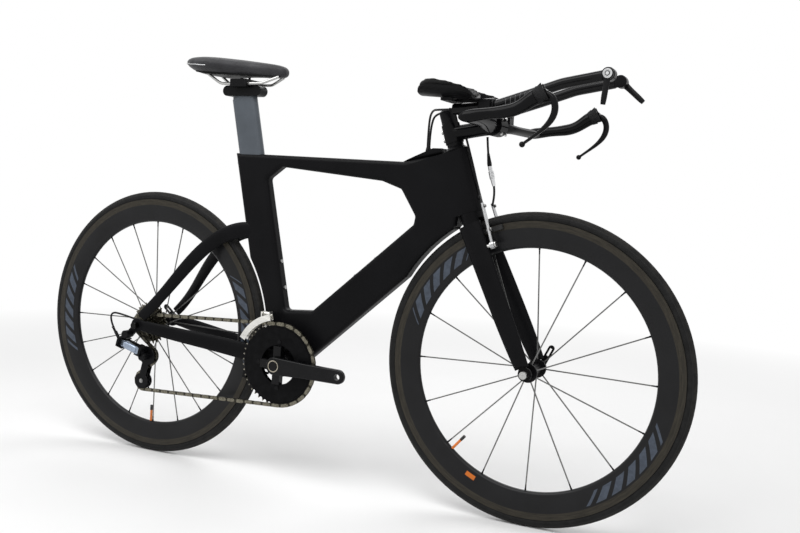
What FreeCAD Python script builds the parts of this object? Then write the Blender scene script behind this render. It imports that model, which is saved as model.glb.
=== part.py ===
# Time trial bicycle as a parametric assembly: X forward, Y to the rider's left, Z up, in millimetres.
import FreeCAD, Part
import Sketcher
import math
import os
import re

V = FreeCAD.Vector
SIDE = V(0, 1, 0)
UP = V(0, 0, 1)
AHEAD = V(1, 0, 0)

# Driving dimensions: lengths in millimetres, names that end in _angle in degrees, names that end in _count plain.
SIZES = {
    # Wheels
    "wheelbase": 1010.0, "tyre_radius": 336.0, "tyre_width": 25.0, "tyre_wall": 2.4,
    "bead_radius": 311.5, "bead_width": 17.6, "bead_wall": 2.2, "seat_gap": 0.1,
    "rim_radius": 317.0, "rim_width": 25.0, "rim_well_radius": 311.3, "rim_well_width": 18.0,
    "rim_nose_radius": 259.5, "rim_nose_round": 8.0, "rim_side_round": 130.0, "brake_track": 14.0,
    "spoke_width": 2.8, "spoke_thickness": 1.2, "spoke_bury": 2.0, "spoke_count_front": 16.0,
    "spoke_count_rear": 20.0, "spoke_cross_angle": 48.0, "spoke_pair_gap": 2.4,
    "valve_radius": 3.0, "valve_length": 28.0, "valve_cap_radius": 3.4, "valve_cap_length": 13.0,
    "front_valve_angle": -131.3, "rear_valve_angle": -91.4,
    "hub_end_radius": 10.0, "hub_body_radius": 12.0, "flange_radius": 20.5, "flange_hole_radius": 17.0,
    "flange_thickness": 3.2, "front_flange_place": 33.0, "rear_flange_left": 33.0, "rear_flange_right": 11.5,
    "hub_end_gap": 3.0, "run_fit": 0.06, "front_spacing": 100.0, "rear_spacing": 130.0,
    "axle_radius": 6.0, "axle_tip_radius": 4.5, "locknut_radius": 8.5, "skewer_radius": 8.0,
    "skewer_length": 13.0, "cup_radius": 9.0, "cup_length": 6.0, "dropout_thickness": 6.5,
    # Steering axis, measured along the axis from the point nearest to the front axle
    "head_angle": 72.0, "fork_rake": 46.0, "head_bottom": 357.5, "head_top": 497.0, "head_front": 27.0,
    "head_rear": 27.0, "head_bore": 20.5, "bearing_height": 8.0, "steerer_radius": 14.2, "steerer_top": 582.0,
    "turn_gap": 0.6, "crown_length": 20.0, "crown_width": 62.0, "crown_depth": 53.0, "crown_flare": 26.0,
    "crown_notch": 33.5, "leg_notch": 46.5, "leg_notch_top": 338.0, "crown_low_width": 74.0,
    "tyre_room": 8.0, "fork_slot": 44.0,
    "leg_chord": 50.0, "leg_thickness": 22.0, "leg_top_place": 34.0, "leg_foot_place": 57.0,
    "leg_top_reach": 332.0, "leg_foot_reach": 14.0, "fork_tip_radius": 14.5,
    # Frame
    "chainstay_length": 412.0, "bb_drop": 54.5, "bb_shell_radius": 30.0, "bb_shell_width": 68.0,
    "bb_bore": 20.5, "bb_cup_radius": 22.0, "bb_cup_length": 3.0,
    "frame_pad": 70.0, "head_width": 55.0, "tail_width": 29.0, "plan_margin": 20.0,
    "top_rear_ahead": 242.0, "top_rear_z": 776.0, "top_front_back": 315.0, "top_front_z": 767.0,
    "frame_nose_back": 183.0, "tube_kink_back": 297.0, "tyre_gap_front": 9.0, "tyre_gap_rear": 12.0,
    "cutout_top_z": 524.0, "cutout_low_z": 300.0,
    "corner_round": 9.0, "edge_round": 10.0, "head_round": 21.0, "hole_round": 10.0,
    "hole_seat_ahead": 336.0, "hole_seat_z": 717.0, "hole_gusset_ahead": 375.0, "hole_gusset_z": 746.0,
    "hole_top_back": 368.0, "hole_top_z": 722.5, "hole_bend_back": 319.0, "hole_bend_z": 706.0,
    "hole_head_back": 282.0, "hole_head_z": 648.0, "hole_down_back": 285.0, "hole_down_z": 629.5,
    "hole_floor_ahead": 473.0, "hole_floor_z": 412.0, "hole_corner_ahead": 398.0, "hole_corner_z": 407.0,
    "seat_tube_angle": 78.9, "post_chord": 67.0, "post_width": 22.5, "post_gap": 0.3, "post_socket": 205.0,
    "stay_front_inset": 30.0, "stay_front_raise": 6.0, "stay_front_place": 25.0, "stay_rear_place": 67.8,
    "stay_rear_inset": 12.0, "chainstay_height": 46.0, "chainstay_width": 15.0,
    "seatstay_start_ahead": 302.0, "seatstay_start_z": 590.0, "seatstay_start_place": 6.0,
    "seatstay_height": 38.0, "seatstay_width": 15.0, "seatstay_end_x": 12.0, "seatstay_end_z": 22.0,
    "dropout_radius": 17.0, "cover_rise": 31.0, "cover_width": 34.0, "cover_round": 9.0,
    "cover_start_back": 319.0,
    "cover_top_back": 247.0, "cover_gap": 1.2, "bolt_head_radius": 4.6, "bolt_head_length": 3.2,
    # Seatpost and saddle
    "post_bottom": 150.0, "post_inset": 11.1, "clamp_length": 84.0, "clamp_width": 30.0, "clamp_height": 25.0,
    "yoke_length": 46.0, "yoke_height": 9.0, "yoke_width": 62.0, "clamp_bolt_radius": 3.0,
    "rail_radius": 3.5, "rail_place": 22.0, "rail_height": 941.0, "rail_front_ahead": 357.0,
    "rail_rear_ahead": 167.0,
    "rail_bend_front_ahead": 317.0, "rail_bend_rear_ahead": 199.0,
    "rail_rise_front": 16.0, "rail_rise_rear": 22.5, "rail_bend_radius": 30.0,
    "saddle_rear_ahead": 103.0, "saddle_length": 271.0, "saddle_width": 138.0, "saddle_rise": 20.0,
    "saddle_height": 40.0, "shell_thickness": 4.0, "saddle_angle": 3.0,
    # Stem, base bar and levers
    "cover_height": 9.0, "spacer_radius": 18.0, "stem_low": 514.0, "stem_clamp_height": 42.0,
    "stem_clamp_radius": 20.0, "stem_height": 35.0, "stem_width": 38.0, "cap_height": 6.0,
    "bar_back": 112.0, "bar_z": 848.0, "bar_radius": 15.9, "bar_clamp_radius": 21.5, "bar_clamp_width": 44.0,
    "face_gap": 1.2, "bar_round_half": 34.0, "wing_end": 204.0, "wing_chord": 46.0, "wing_thickness": 18.0,
    "wing_sweep": 18.0, "horn_place": 212.0, "horn_width": 25.5, "horn_height": 25.0,
    "horn_length": 150.0, "horn_rise": 40.0, "lever_body_length": 21.0, "lever_body_height": 43.0,
    "lever_body_width": 25.0, "lever_slot": 14.6, "lever_hub_radius": 7.0, "lever_hub_width": 14.0,
    "lever_pin_radius": 2.5, "lever_reach": 104.0, "lever_width": 13.4, "lever_depth": 13.2,
    "lever_ball": 5.7,
    "pin_fit": 0.06, "hub_gap": 0.6,
    # Extension bars, armrests and shifters
    "extension_radius": 11.1, "extension_place": 56.0, "extension_rear_back": 187.0,
    "extension_rear_z": 878.0,
    "extension_length": 310.0, "extension_rise": 66.0, "extension_bend": 130.0,
    "clamp_ring_radius": 16.0, "clamp_ring_length": 34.0, "riser_width": 26.0, "riser_length": 34.0,
    "cup_place": 98.0, "cup_back": 183.0, "cup_z": 897.0, "armrest_length": 120.0, "armrest_width": 86.0,
    "cup_thickness": 3.5, "cup_round": 64.0, "pad_thickness": 14.0, "pad_gap": 1.2, "armrest_angle": 4.0,
    "cup_corner": 22.0, "bracket_thickness": 6.0, "bracket_width": 24.0,
    "shifter_radius": 13.0, "shifter_width": 20.0, "shifter_gap": 0.5, "shift_lever_length": 60.0,
    "shift_lever_width": 8.0, "shift_lever_depth": 12.0, "shift_lever_thickness": 7.0,
    "shift_right_angle": 96.0, "shift_left_angle": 42.0, "shifter_bolt_radius": 5.0,
    "shifter_bolt_height": 2.5,
    # Brakes
    "brake_pivot_back": 90.0, "brake_pivot_z": 598.0, "brake_tilt_angle": 20.0, "brake_pivot_place": 40.0,
    "brake_arm_length": 92.0, "brake_arm_width": 13.0, "brake_arm_thickness": 9.0, "brake_pad_length": 50.0,
    "brake_pad_height": 10.0, "brake_pad_depth": 7.0, "brake_pad_gap": 1.6, "brake_pad_reach": 33.0,
    "stud_radius": 4.0, "stud_length": 26.0, "brake_top_place": 31.0, "rear_brake_ahead": 345.0,
    "rear_brake_z": 253.0, "rear_brake_place": 27.0, "rear_arm_length": 46.0, "rear_arm_front": 22.0,
    "rear_pad_length": 42.0,
    # Quick release levers
    "qr_barrel_radius": 5.5, "qr_barrel_length": 15.0, "qr_length": 52.0, "qr_width": 14.0,
    "qr_thickness": 4.5, "qr_gap": 0.4, "qr_slot_width": 5.0, "qr_front_angle": 64.0, "qr_rear_angle": 140.0,
    # Chain drive
    "chain_pitch": 12.7, "chain_line": 48.0, "ring_teeth_count": 48.0, "small_ring_teeth_count": 36.0,
    "cog_teeth_count": 13.0, "pulley_teeth_count": 11.0, "cog_spacing": 3.74, "roller_radius": 3.85,
    "roller_gap": 0.2, "tooth_height": 3.0, "tooth_tip": 1.6, "tooth_thickness": 1.7, "ring_thickness": 3.6,
    "ring_rim": 9.0, "ring_gap": 7.5, "ring_bore": 47.0, "bolt_circle": 55.0, "ring_bolt_radius": 5.0,
    "ring_bolt_head": 1.2, "freehub_radius": 17.0, "lockring_radius": 15.5, "lockring_length": 3.0,
    "chain_plate_half": 4.1, "chain_plate": 0.8, "inner_half": 1.1, "outer_half": 2.0,
    "chain_pin_radius": 1.75,
    "chain_pin_gap": 0.1, "plate_gap": 0.1,
    "crank_length": 170.0, "crank_inner": 58.0, "crank_thickness": 14.0, "crank_hub_radius": 21.0,
    "crank_end_radius": 16.5, "crank_waist": 17.5, "crank_round": 4.0, "pedal_bore": 7.15, "crank_angle": 1.5,
    "spindle_radius": 12.0, "spider_width": 20.0, "spider_thickness": 3.7, "spider_gap": 0.2,
    "crank_cap_radius": 11.0,
    "crank_cap_height": 2.0, "hub_inner": 37.6,
    # Rear derailleur
    "hanger_x": 22.0, "hanger_z": 24.0, "hanger_half": 9.0, "knuckle_radius": 10.0, "knuckle_length": 9.0,
    "link_base_x": 35.0, "link_base_z": 48.0, "link_length": 50.0, "link_drop_angle": 16.0,
    "link_half": 9.5, "link_thickness": 5.0, "outer_link_place": 80.0, "inner_link_place": 66.0,
    "link_pin_radius": 2.0, "ear_thickness": 2.6, "ear_half": 6.0, "ear_gap": 0.4,
    "ear_wall": 2.5, "stop_height": 6.0, "barrel_radius": 4.0, "barrel_length": 30.0, "barrel_angle": 125.0,
    "guide_x": 23.0, "guide_z": 78.0, "cage_length": 68.0, "cage_angle": 12.0, "cage_plate": 2.0,
    "cage_half": 7.0, "cage_strap": 19.0, "cage_head_radius": 23.0, "cage_foot_radius": 20.0,
    "pulley_hub_radius": 6.0, "pulley_hub_width": 7.6, "pulley_bolt_radius": 2.5,
    "cage_knuckle_gap": 0.6, "cage_knuckle_radius": 9.0,
    # Front derailleur
    "fd_ahead": 365.0, "fd_low_z": 366.0, "fd_high_z": 397.0, "fd_low_place": 28.0, "fd_high_place": 33.0,
    "fd_pin_radius": 2.2, "fd_link_length": 18.0, "fd_link_half": 5.5, "fd_cage_gap": 5.5,
    "fd_cage_plate": 1.5,
    "fd_cage_depth": 15.0, "fd_cage_room": 8.5, "fd_block_width": 10.0, "fd_ear": 3.0, "fd_bridge": 14.0,
    # Cables
    "cable_radius": 2.4, "cable_bend": 26.0, "adjuster_radius": 5.0, "adjuster_length": 44.0,
    "cable_gap": 0.3,
    "cable_side": 13.0, "port_radius": 5.0,
    "loop_bend": 16.0, "loop_reach": 76.0, "loop_rise": 26.0, "loop_end_rise": 13.0, "cord_turn": 21.0,
    # One overrun for all cuts
    "overrun": 5.0,
}

# Shares of named sizes
DROPOUT_ROOM_SHARE = 1.2
FORK_HUB_ROOM_SHARE = 0.8
FORK_TIP_ROOM_SHARE = 1.3
FORK_LEG_SHARES = ((0.0, 1.0, 1.0, 0.0), (0.25, 0.94, 0.88, 0.34), (0.5, 0.88, 0.78, 0.62),
                   (0.75, 0.80, 0.68, 0.84), (1.0, 0.62, 0.56, 1.0))
CHAINSTAY_SHARES = ((0.0, 0.0, 1.0, 1.0), (0.2, 0.02, 0.93, 1.0), (0.48, 0.33, 0.83, 1.0),
                    (0.78, 0.8, 0.72, 0.9), (1.0, 1.0, 0.58, 0.72))
SEATSTAY_SHARES = ((0.0, 0.0, 0.0, 1.0, 0.9), (0.13, 0.082, 0.28, 1.0, 1.0), (0.28, 0.108, 0.43, 0.92, 1.0),
                   (0.64, 0.06, 0.73, 0.8, 0.92), (1.0, 0.0, 1.0, 0.7, 0.72))
WING_SHARES = ((0.0, 0.0, 0.0), (0.16, 0.62, 0.72), (0.34, 0.95, 0.98), (0.7, 1.0, 1.0), (1.0, 0.96, 1.0))
HORN_SHARES = ((0.0, 0.0, 0.38, 0.42), (0.06, 0.01, 0.8, 0.86), (0.3, 0.12, 0.92, 1.0),
               (0.62, 0.26, 0.97, 1.0),
               (0.8, 0.46, 1.0, 1.0), (0.93, 0.77, 1.1, 1.0), (1.0, 0.92, 1.18, 1.0))
LEVER_SHARES = ((0.06, -0.02, 1.0, 0.8), (0.17, -0.12, 1.0, 1.0), (0.215, -0.28, 0.98, 0.98),
                (0.15, -0.49, 0.92, 0.88),
                (-0.03, -0.68, 0.84, 0.58), (-0.2, -0.81, 0.76, 0.44), (-0.35, -0.92, 0.66, 0.4))
LEVER_BODY_SHARES = ((0.0, 0.72, 0.96), (0.5, 0.84, 1.0), (1.0, 1.0, 1.0))
LEVER_MOUTH_SHARE = 1.1
EXTENSION_SHARES = ((0.0, 0.0), (0.3, 0.12), (0.52, 0.44), (0.74, 0.78), (1.0, 1.0))
SADDLE_SHARES = ((0.0, 0.44, 0.52, 0.40), (0.05, 0.72, 0.30, 0.72), (0.14, 0.94, 0.14, 0.93),
                 (0.26, 1.0, 0.06, 1.0),
                 (0.40, 0.84, 0.06, 0.96), (0.55, 0.52, 0.10, 0.89), (0.70, 0.37, 0.12, 0.82),
                 (0.85, 0.30, 0.12, 0.73), (0.95, 0.25, 0.16, 0.62), (1.0, 0.14, 0.26, 0.46))
RAIL_FLARE_SHARE = 1.3
SADDLE_SHOULDER_SHARE = 0.72
SADDLE_TUCK_SHARE = 0.86
SHELL_START_SHARE = 0.12
SHELL_END_SHARE = 0.96
SHELL_WIDTH_SHARE = 0.8
PAD_SHARES = ((0.0, 0.52, 0.9), (0.06, 0.78, 1.25), (0.2, 0.96, 1.35), (0.5, 1.0, 1.0), (0.8, 0.94, 0.75),
              (0.94, 0.76, 0.6), (1.0, 0.5, 0.5))
PAD_TUCK_SHARE = 0.9
PAD_RIM_SHARE = 0.8
SADDLE_CROWN_SHARE = 0.24
STEM_SHARES = ((0.0, 1.0, 1.0), (0.5, 0.94, 0.9), (1.0, 1.04, 1.0))
STEM_BOLT_SHARES = (0.28, 0.72)
FACE_BOLT_SHARES = (0.8, 0.3, 0.78, 0.75)
SHIFTER_NECK_SHARE = 0.9
SHIFT_DISC_SHARE = 0.92
SHIFT_BLADE_SHARES = ((0.0, 1.5, 0.96), (0.4, 1.0, 0.96), (0.8, 0.96, 0.96), (1.0, 0.8, 0.7))
BRAKE_HUB_SHARE = 0.62
STUD_HEAD_SHARE = 1.6
BRAKE_ARM_SHARES = ((0.0, 1.0, 0.9), (0.5, 0.86, 0.86), (1.0, 0.7, 0.74))
REAR_ARM_SHARES = ((0.0, 0.8), (1.0, 0.62))
FD_BRIDGE_SHARES = (0.06, 0.94)
FRONT_CABLE_SHARES = ((0.1, -1.3), (0.6, -2.6), (0.4, -3.35))
FRONT_CABLE_OUT_SHARE = 0.55
REAR_CABLE_SIDE_SHARE = 1.6
REAR_CABLE_TOP_SHARES = (0.2, 0.4)
REAR_CABLE_PORT_SHARES = (5.0, 2.6, 0.9)
SHIFT_CABLE_SHARE = 0.82
DOWN_BOLT_SHARES = (0.42, 0.62)
SEAT_BOLT_SHARES = (0.17, 0.37)
COG_TEETH = (11, 12, 13, 14, 15, 16, 17, 19, 21, 23, 25)
FD_CAGE_START_ANGLE = 102.0
FD_CAGE_END_ANGLE = 152.0

# Places along the bike, each from its axle, and heights that follow the saddle rails
PLACES = {size.rsplit("_", 1)[0] + "_x": f"wheelbase/2 - {size}" for size in SIZES
          if size.endswith(("_back", "_ahead"))}
PLACES["saddle_base_z"] = "rail_height + saddle_rise"
PLACES["post_top"] = ("(rail_height - rail_radius - clamp_height - top_rear_z)/sin(seat_tube_angle*1deg)"
                      " - post_inset")

doc = FreeCAD.newDocument("time_trial_bike")
sheet = doc.addObject("Spreadsheet::Sheet", "Sizes")
CELLS = {alias: repr(value) for alias, value in SIZES.items()}
CELLS.update({alias: "=" + formula for alias, formula in PLACES.items()})
for row, (alias, content) in enumerate(CELLS.items(), 1):
    sheet.set(f"A{row}", alias)
    sheet.set(f"B{row}", content)
    sheet.setAlias(f"B{row}", alias)
doc.recompute()

NODES = {}
WORDS = re.compile(r"[a-z][a-z_0-9]*")


class Sizes:
    """Reads a driving dimension from the sheet by its alias."""

    def __getattr__(self, alias):
        return float(sheet.get(alias))


S = Sizes()


def linked(text):
    """The expression with every alias pointed at the sheet."""
    return WORDS.sub(lambda m: f"Sizes.{m.group(0)}" if m.group(0) in CELLS else m.group(0), text)


def num(size):
    """The value of an expression of aliases, or of a length that is a number already."""
    if isinstance(size, float):
        return size
    value = sheet.evalExpression(size)
    return float(getattr(value, "Value", value))


def add(kind, name, placement=None, **sizes):
    """A document object whose sizes follow the sheet, or a length between two places."""
    obj = doc.addObject(kind, name)
    for prop, size in sizes.items():
        if isinstance(size, float):
            setattr(obj, prop, size)
        else:
            obj.setExpression(prop, linked(size))
    if placement is not None:
        obj.Placement = placement
    return obj


def place(at, axis=UP):
    return FreeCAD.Placement(at, FreeCAD.Rotation(UP, axis))


def frame_of(at, first, third):
    """Placement with local X along first and local Z along third."""
    third = V(third).normalize()
    second = third.cross(first).normalize()
    return FreeCAD.Placement(at, FreeCAD.Rotation(second.cross(third), second, third, "ZXY"))


def rod(name, at, axis, radius, length):
    return add("Part::Cylinder", name, place(at, axis), Radius=radius, Height=length)


def block(name, at, first, third, length, width, height):
    """A box centred on its base: length along first, height along third."""
    spot = frame_of(at, first, third)
    corner = V(-num(length) / 2, -num(width) / 2, 0)
    spot = spot.multiply(FreeCAD.Placement(corner, FreeCAD.Rotation()))
    return add("Part::Box", name, spot, Length=length, Width=width, Height=height)


def joined(name, parts):
    obj = doc.addObject("Part::MultiFuse", name)
    obj.Shapes = parts
    obj.Refine = False
    return obj


def less(name, base, tools):
    tool = tools[0] if len(tools) == 1 else joined(name + "_tools", tools)
    obj = doc.addObject("Part::Cut", name)
    obj.Base = base
    obj.Tool = tool
    obj.Refine = False
    return obj


def shared(name, first, second):
    obj = doc.addObject("Part::Common", name)
    obj.Base = first
    obj.Tool = second
    return obj


def group(name, parts):
    obj = doc.addObject("Part::Compound", name)
    obj.Links = parts
    return obj


def mirrored(name, source):
    obj = doc.addObject("Part::Mirroring", name)
    obj.Source = source
    obj.Base = V(0, 0, 0)
    obj.Normal = SIDE
    return obj


def shaped(name, shape):
    obj = doc.addObject("Part::Feature", name)
    obj.Shape = shape
    return obj


def node(label, obj):
    obj.Label = label
    NODES[label] = obj
    return obj


def loft(name, stations):
    """Solid through ellipses: centre, normal, direction of the long axis, long and short radius."""
    rings = []
    for i, (centre, normal, first, major, minor) in enumerate(stations):
        rings.append(add("Part::Ellipse", f"{name}_ring_{i}", frame_of(centre, first, normal),
                         MajorRadius=major, MinorRadius=minor))
    obj = doc.addObject("Part::Loft", name)
    obj.Sections = rings
    obj.Solid = True
    obj.Ruled = False
    return obj


def slopes(points):
    """Direction of a path at each of its points."""
    last = len(points) - 1
    return [(points[min(i + 1, last)] - points[max(i - 1, 0)]).normalize() for i in range(last + 1)]


def draw(sketch, corners):
    """Closed outline; a corner (u, v, radius, turn, long) starts an arc, turn is 1 to the left and -1 to the right."""
    points = [V(num(c[0]), num(c[1]), 0) for c in corners]
    count = len(corners)
    first = sketch.GeometryCount
    ends = []
    for i, corner in enumerate(corners):
        p, q = points[i], points[(i + 1) % count]
        if len(corner) == 2:
            sketch.addGeometry(Part.LineSegment(p, q), False)
            ends.append((1, 2))
            continue
        radius, turn, far = num(corner[2]), corner[3], len(corner) > 4
        chord = q - p
        left = V(-chord.y, chord.x, 0).normalize()
        offset = math.sqrt(max(radius * radius - chord.Length ** 2 / 4, 0)) * turn * (-1 if far else 1)
        centre = (p + q) / 2 + left * offset
        a, b = [math.atan2(e.y - centre.y, e.x - centre.x) for e in ((p, q) if turn > 0 else (q, p))]
        sketch.addGeometry(Part.ArcOfCircle(Part.Circle(centre, UP, radius), a, b), False)
        ends.append((1, 2) if turn > 0 else (2, 1))
    for i in range(count):
        after = (i + 1) % count
        sketch.addConstraint(Sketcher.Constraint("Coincident", first + i, ends[i][1], first + after,
                                                 ends[after][0]))
    for i, corner in enumerate(corners):
        for axis, kind, line, text in ((0, "DistanceX", -2, corner[0]), (1, "DistanceY", -1, corner[1])):
            if text == "0":
                sketch.addConstraint(Sketcher.Constraint("PointOnObject", first + i, ends[i][0], line))
                continue
            value = points[i].x if axis == 0 else points[i].y
            index = sketch.addConstraint(Sketcher.Constraint(kind, -1, 1, first + i, ends[i][0], value))
            sketch.setExpression(f"Constraints[{index}]", linked(text))
        if len(corner) > 2:
            index = sketch.addConstraint(Sketcher.Constraint("Radius", first + i, num(corner[2])))
            sketch.setExpression(f"Constraints[{index}]", linked(corner[2]))


def draw_circle(sketch, u, v, radius):
    index = sketch.addGeometry(Part.Circle(V(num(u), num(v), 0), UP, num(radius)), False)
    for kind, text in (("DistanceX", u), ("DistanceY", v)):
        if text == "0":
            line = -2 if kind == "DistanceX" else -1
            sketch.addConstraint(Sketcher.Constraint("PointOnObject", index, 3, line))
            continue
        at = sketch.addConstraint(Sketcher.Constraint(kind, -1, 1, index, 3, num(text)))
        sketch.setExpression(f"Constraints[{at}]", linked(text))
    at = sketch.addConstraint(Sketcher.Constraint("Radius", index, num(radius)))
    sketch.setExpression(f"Constraints[{at}]", linked(radius))


def sketch_on(body, role, name):
    plane = [f for f in body.Origin.OriginFeatures if f.Role == role][0]
    sketch = body.newObject("Sketcher::SketchObject", name)
    sketch.AttachmentSupport = [(plane, "")]
    sketch.MapMode = "FlatFace"
    return sketch


def turned(name, corners, placement):
    """Body turned about its own Y axis: corners give radius and place along the axis."""
    body = doc.addObject("PartDesign::Body", name)
    sketch = sketch_on(body, "XY_Plane", name + "_sketch")
    draw(sketch, corners)
    turn = body.newObject("PartDesign::Revolution", name + "_turn")
    turn.Profile = sketch
    turn.ReferenceAxis = (sketch, ["V_Axis"])
    turn.Angle = 360
    body.Placement = placement
    return body


def plate(name, corners, thickness, placement, holes=(), rounding=None):
    """Body padded to both sides of its XZ plane, with round holes and rounded outer edges."""
    body = doc.addObject("PartDesign::Body", name)
    sketch = sketch_on(body, "XZ_Plane", name + "_sketch")
    draw(sketch, corners)
    for hole in holes:
        draw_circle(sketch, *hole)
    pad = body.newObject("PartDesign::Pad", name + "_pad")
    pad.Profile = sketch
    pad.SideType = "Symmetric"
    pad.setExpression("Length", linked(thickness))
    if rounding is not None:
        doc.recompute()
        flats = [f for f in pad.Shape.Faces if f.Surface.TypeId == "Part::GeomPlane"
                 and abs(f.normalAt(0, 0).y) > 0.9]
        wanted = [e for f in flats for e in f.OuterWire.Edges]
        names = [f"Edge{i + 1}" for i, e in enumerate(pad.Shape.Edges) if any(e.isSame(w) for w in wanted)]
        fillet = body.newObject("PartDesign::Fillet", name + "_round")
        fillet.Base = (pad, names)
        fillet.setExpression("Radius", linked(rounding))
    body.Placement = placement
    return body


def path_with_bends(points, radius):
    """Straight runs joined by tangent arcs of one radius."""
    edges = []
    start = points[0]
    for before, corner, after in zip(points, points[1:], points[2:]):
        into = (corner - before).normalize()
        out = (after - corner).normalize()
        half = into.getAngle(out) / 2
        cut_back = radius * math.tan(half)
        first, last = corner - into * cut_back, corner + out * cut_back
        inward = (out - into).normalize()
        middle = corner + inward * (radius / math.cos(half) - radius)
        edges.append(Part.LineSegment(start, first).toShape())
        edges.append(Part.Arc(first, middle, last).toShape())
        start = last
    edges.append(Part.LineSegment(start, points[-1]).toShape())
    return Part.Wire(edges)


def tube(points, bend, radius):
    """Round solid along a path of runs and bends."""
    path = path_with_bends(points, bend)
    ring = Part.Wire([Part.makeCircle(radius, points[0], points[1] - points[0])])
    return path.makePipeShell([ring], True, False)


def flat(points):
    """Polygon face through the points."""
    return Part.Face(Part.makePolygon(list(points) + [points[0]]))


# Key places

HEAD = math.radians(S.head_angle)
SEAT = math.radians(S.seat_tube_angle)
STEER = V(-math.cos(HEAD), 0, math.sin(HEAD))
FORE = V(math.sin(HEAD), 0, math.cos(HEAD))
FRONT_AXLE = V(S.wheelbase / 2, 0, S.tyre_radius)
REAR_AXLE = V(-S.wheelbase / 2, 0, S.tyre_radius)
STEER_FOOT = FRONT_AXLE - FORE * S.fork_rake
BB = V(num("-wheelbase/2 + sqrt(chainstay_length^2 - bb_drop^2)"), 0, S.tyre_radius - S.bb_drop)
BAR = V(S.bar_x, 0, S.bar_z)
BB_X = "(-wheelbase/2 + sqrt(chainstay_length^2 - bb_drop^2))"
BB_Z = "(tyre_radius - bb_drop)"


def on_axis(along, off=0, side=0):
    return STEER_FOOT + STEER * along + FORE * off + SIDE * side


def axis_x(along, off):
    return (f"(wheelbase/2 - fork_rake*sin(head_angle*1deg) - ({along})*cos(head_angle*1deg)"
            f" + ({off})*sin(head_angle*1deg))")


def axis_z(along, off):
    return (f"(tyre_radius - fork_rake*cos(head_angle*1deg) + ({along})*sin(head_angle*1deg)"
            f" + ({off})*cos(head_angle*1deg))")


# Wheels

def wheel_tyre(label, centre):
    core = "(tyre_radius - tyre_width/2)"
    edge = f"sqrt((tyre_width/2)^2 - (rim_radius + seat_gap - {core})^2)"
    bead = "(bead_width/2 - bead_wall)"
    inside = f"({core} - sqrt((tyre_width/2 - tyre_wall)^2 - {bead}^2))"
    top = "rim_radius + seat_gap"
    corners = [(top, edge, "tyre_width/2", -1, "long"), (top, "-" + edge), (top, "-bead_width/2"),
               ("bead_radius", "-bead_width/2"), ("bead_radius", "-" + bead),
               (inside, "-" + bead, "tyre_width/2 - tyre_wall", 1, "long"), (inside, bead),
               ("bead_radius", bead),
               ("bead_radius", "bead_width/2"), (top, "bead_width/2")]
    node(label, turned(label + "_body", corners, place(centre)))


def wheel_rim(label, centre):
    side = "rim_width/2"
    well = "rim_well_width/2"
    track = "rim_radius - brake_track"
    belly = "rim_nose_radius + rim_nose_round"
    corners = [("rim_radius", side), ("rim_radius", well), ("rim_well_radius", well),
               ("rim_well_radius", "-" + well),
               ("rim_radius", "-" + well), ("rim_radius", "-" + side),
               (track, "-" + side, "rim_side_round", -1),
               (belly, "-rim_nose_round", "rim_nose_round", -1),
               ("rim_nose_radius", "0", "rim_nose_round", -1),
               (belly, "rim_nose_round", "rim_side_round", -1), (track, side)]
    node(label, turned(label + "_body", [tuple(c) for c in corners], place(centre)))


def spoke(name, centre, foot, head, length):
    """Flat spoke from the hub flange to the rim."""
    along = (head - foot).normalize()
    across = SIDE.cross(along).normalize()
    return block(name, centre + foot, across, along, "spoke_width", "spoke_thickness", length)


def wheel_spokes(label, centre, count, flanges, cross_angle):
    """Flat spokes in turn from the two flanges; a crossed flange takes them in pairs that lean both ways."""
    parts = []
    reach = S.rim_nose_radius + S.spoke_bury
    for i in range(int(count)):
        angle = 2 * math.pi * i / int(count)
        sign, flange = flanges[i % 2]
        lean, lift, lean_text = 0.0, 0.0, "0"
        if sign < 0 and cross_angle:
            way = 1 if (i // 2) % 2 else -1
            lean, lift = math.radians(cross_angle) * way, S.spoke_pair_gap / 2 * way
            lean_text = "spoke_cross_angle"
        foot_angle = angle + lean
        foot = V(math.cos(foot_angle), 0, math.sin(foot_angle)) * S.flange_hole_radius + SIDE * (sign * num(flange) + lift)
        head = V(math.cos(angle), 0, math.sin(angle)) * reach
        rise = f"({flange} + ({'spoke_pair_gap/2' if lift * sign > 0 else '-spoke_pair_gap/2' if lift else '0'}))"
        length = (f"sqrt((rim_nose_radius + spoke_bury)^2 + flange_hole_radius^2 - 2*(rim_nose_radius + spoke_bury)"
                  f"*flange_hole_radius*cos({lean_text}*1deg) + {rise}^2)")
        parts.append(spoke(f"{label}_{i}", centre, foot, head, length))
    node(label, group(label + "_group", parts))


def wheel_valve(label, centre, angle):
    out = V(math.cos(math.radians(angle)), 0, math.sin(math.radians(angle)))
    stem = rod(label + "_stem", centre + out * num("rim_nose_radius + spoke_bury"), out * -1, "valve_radius",
               "valve_length + spoke_bury")
    cap_at = centre + out * (S.rim_nose_radius - S.valve_length)
    cap = rod(label + "_cap", cap_at, out * -1, "valve_cap_radius", "valve_cap_length")
    node(label, joined(label + "_all", [stem, cap]))


def wheel_hub(label, centre, left, right, left_end, right_end):
    """Hub shell with two flanges; the ends and flange places are expressions from the wheel's middle plane."""
    half = "flange_thickness/2"
    bore = "axle_radius + run_fit"
    corners = [(bore, "-" + right_end), ("hub_end_radius", "-" + right_end),
               ("hub_end_radius", f"-{right} - {half}"),
               ("flange_radius", f"-{right} - {half}"), ("flange_radius", f"-{right} + {half}"),
               ("hub_body_radius", f"-{right} + {half}"), ("hub_body_radius", f"{left} - {half}"),
               ("flange_radius", f"{left} - {half}"), ("flange_radius", f"{left} + {half}"),
               ("hub_end_radius", f"{left} + {half}"), ("hub_end_radius", left_end), (bore, left_end)]
    node(label, turned(label + "_body", corners, place(centre)))


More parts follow.
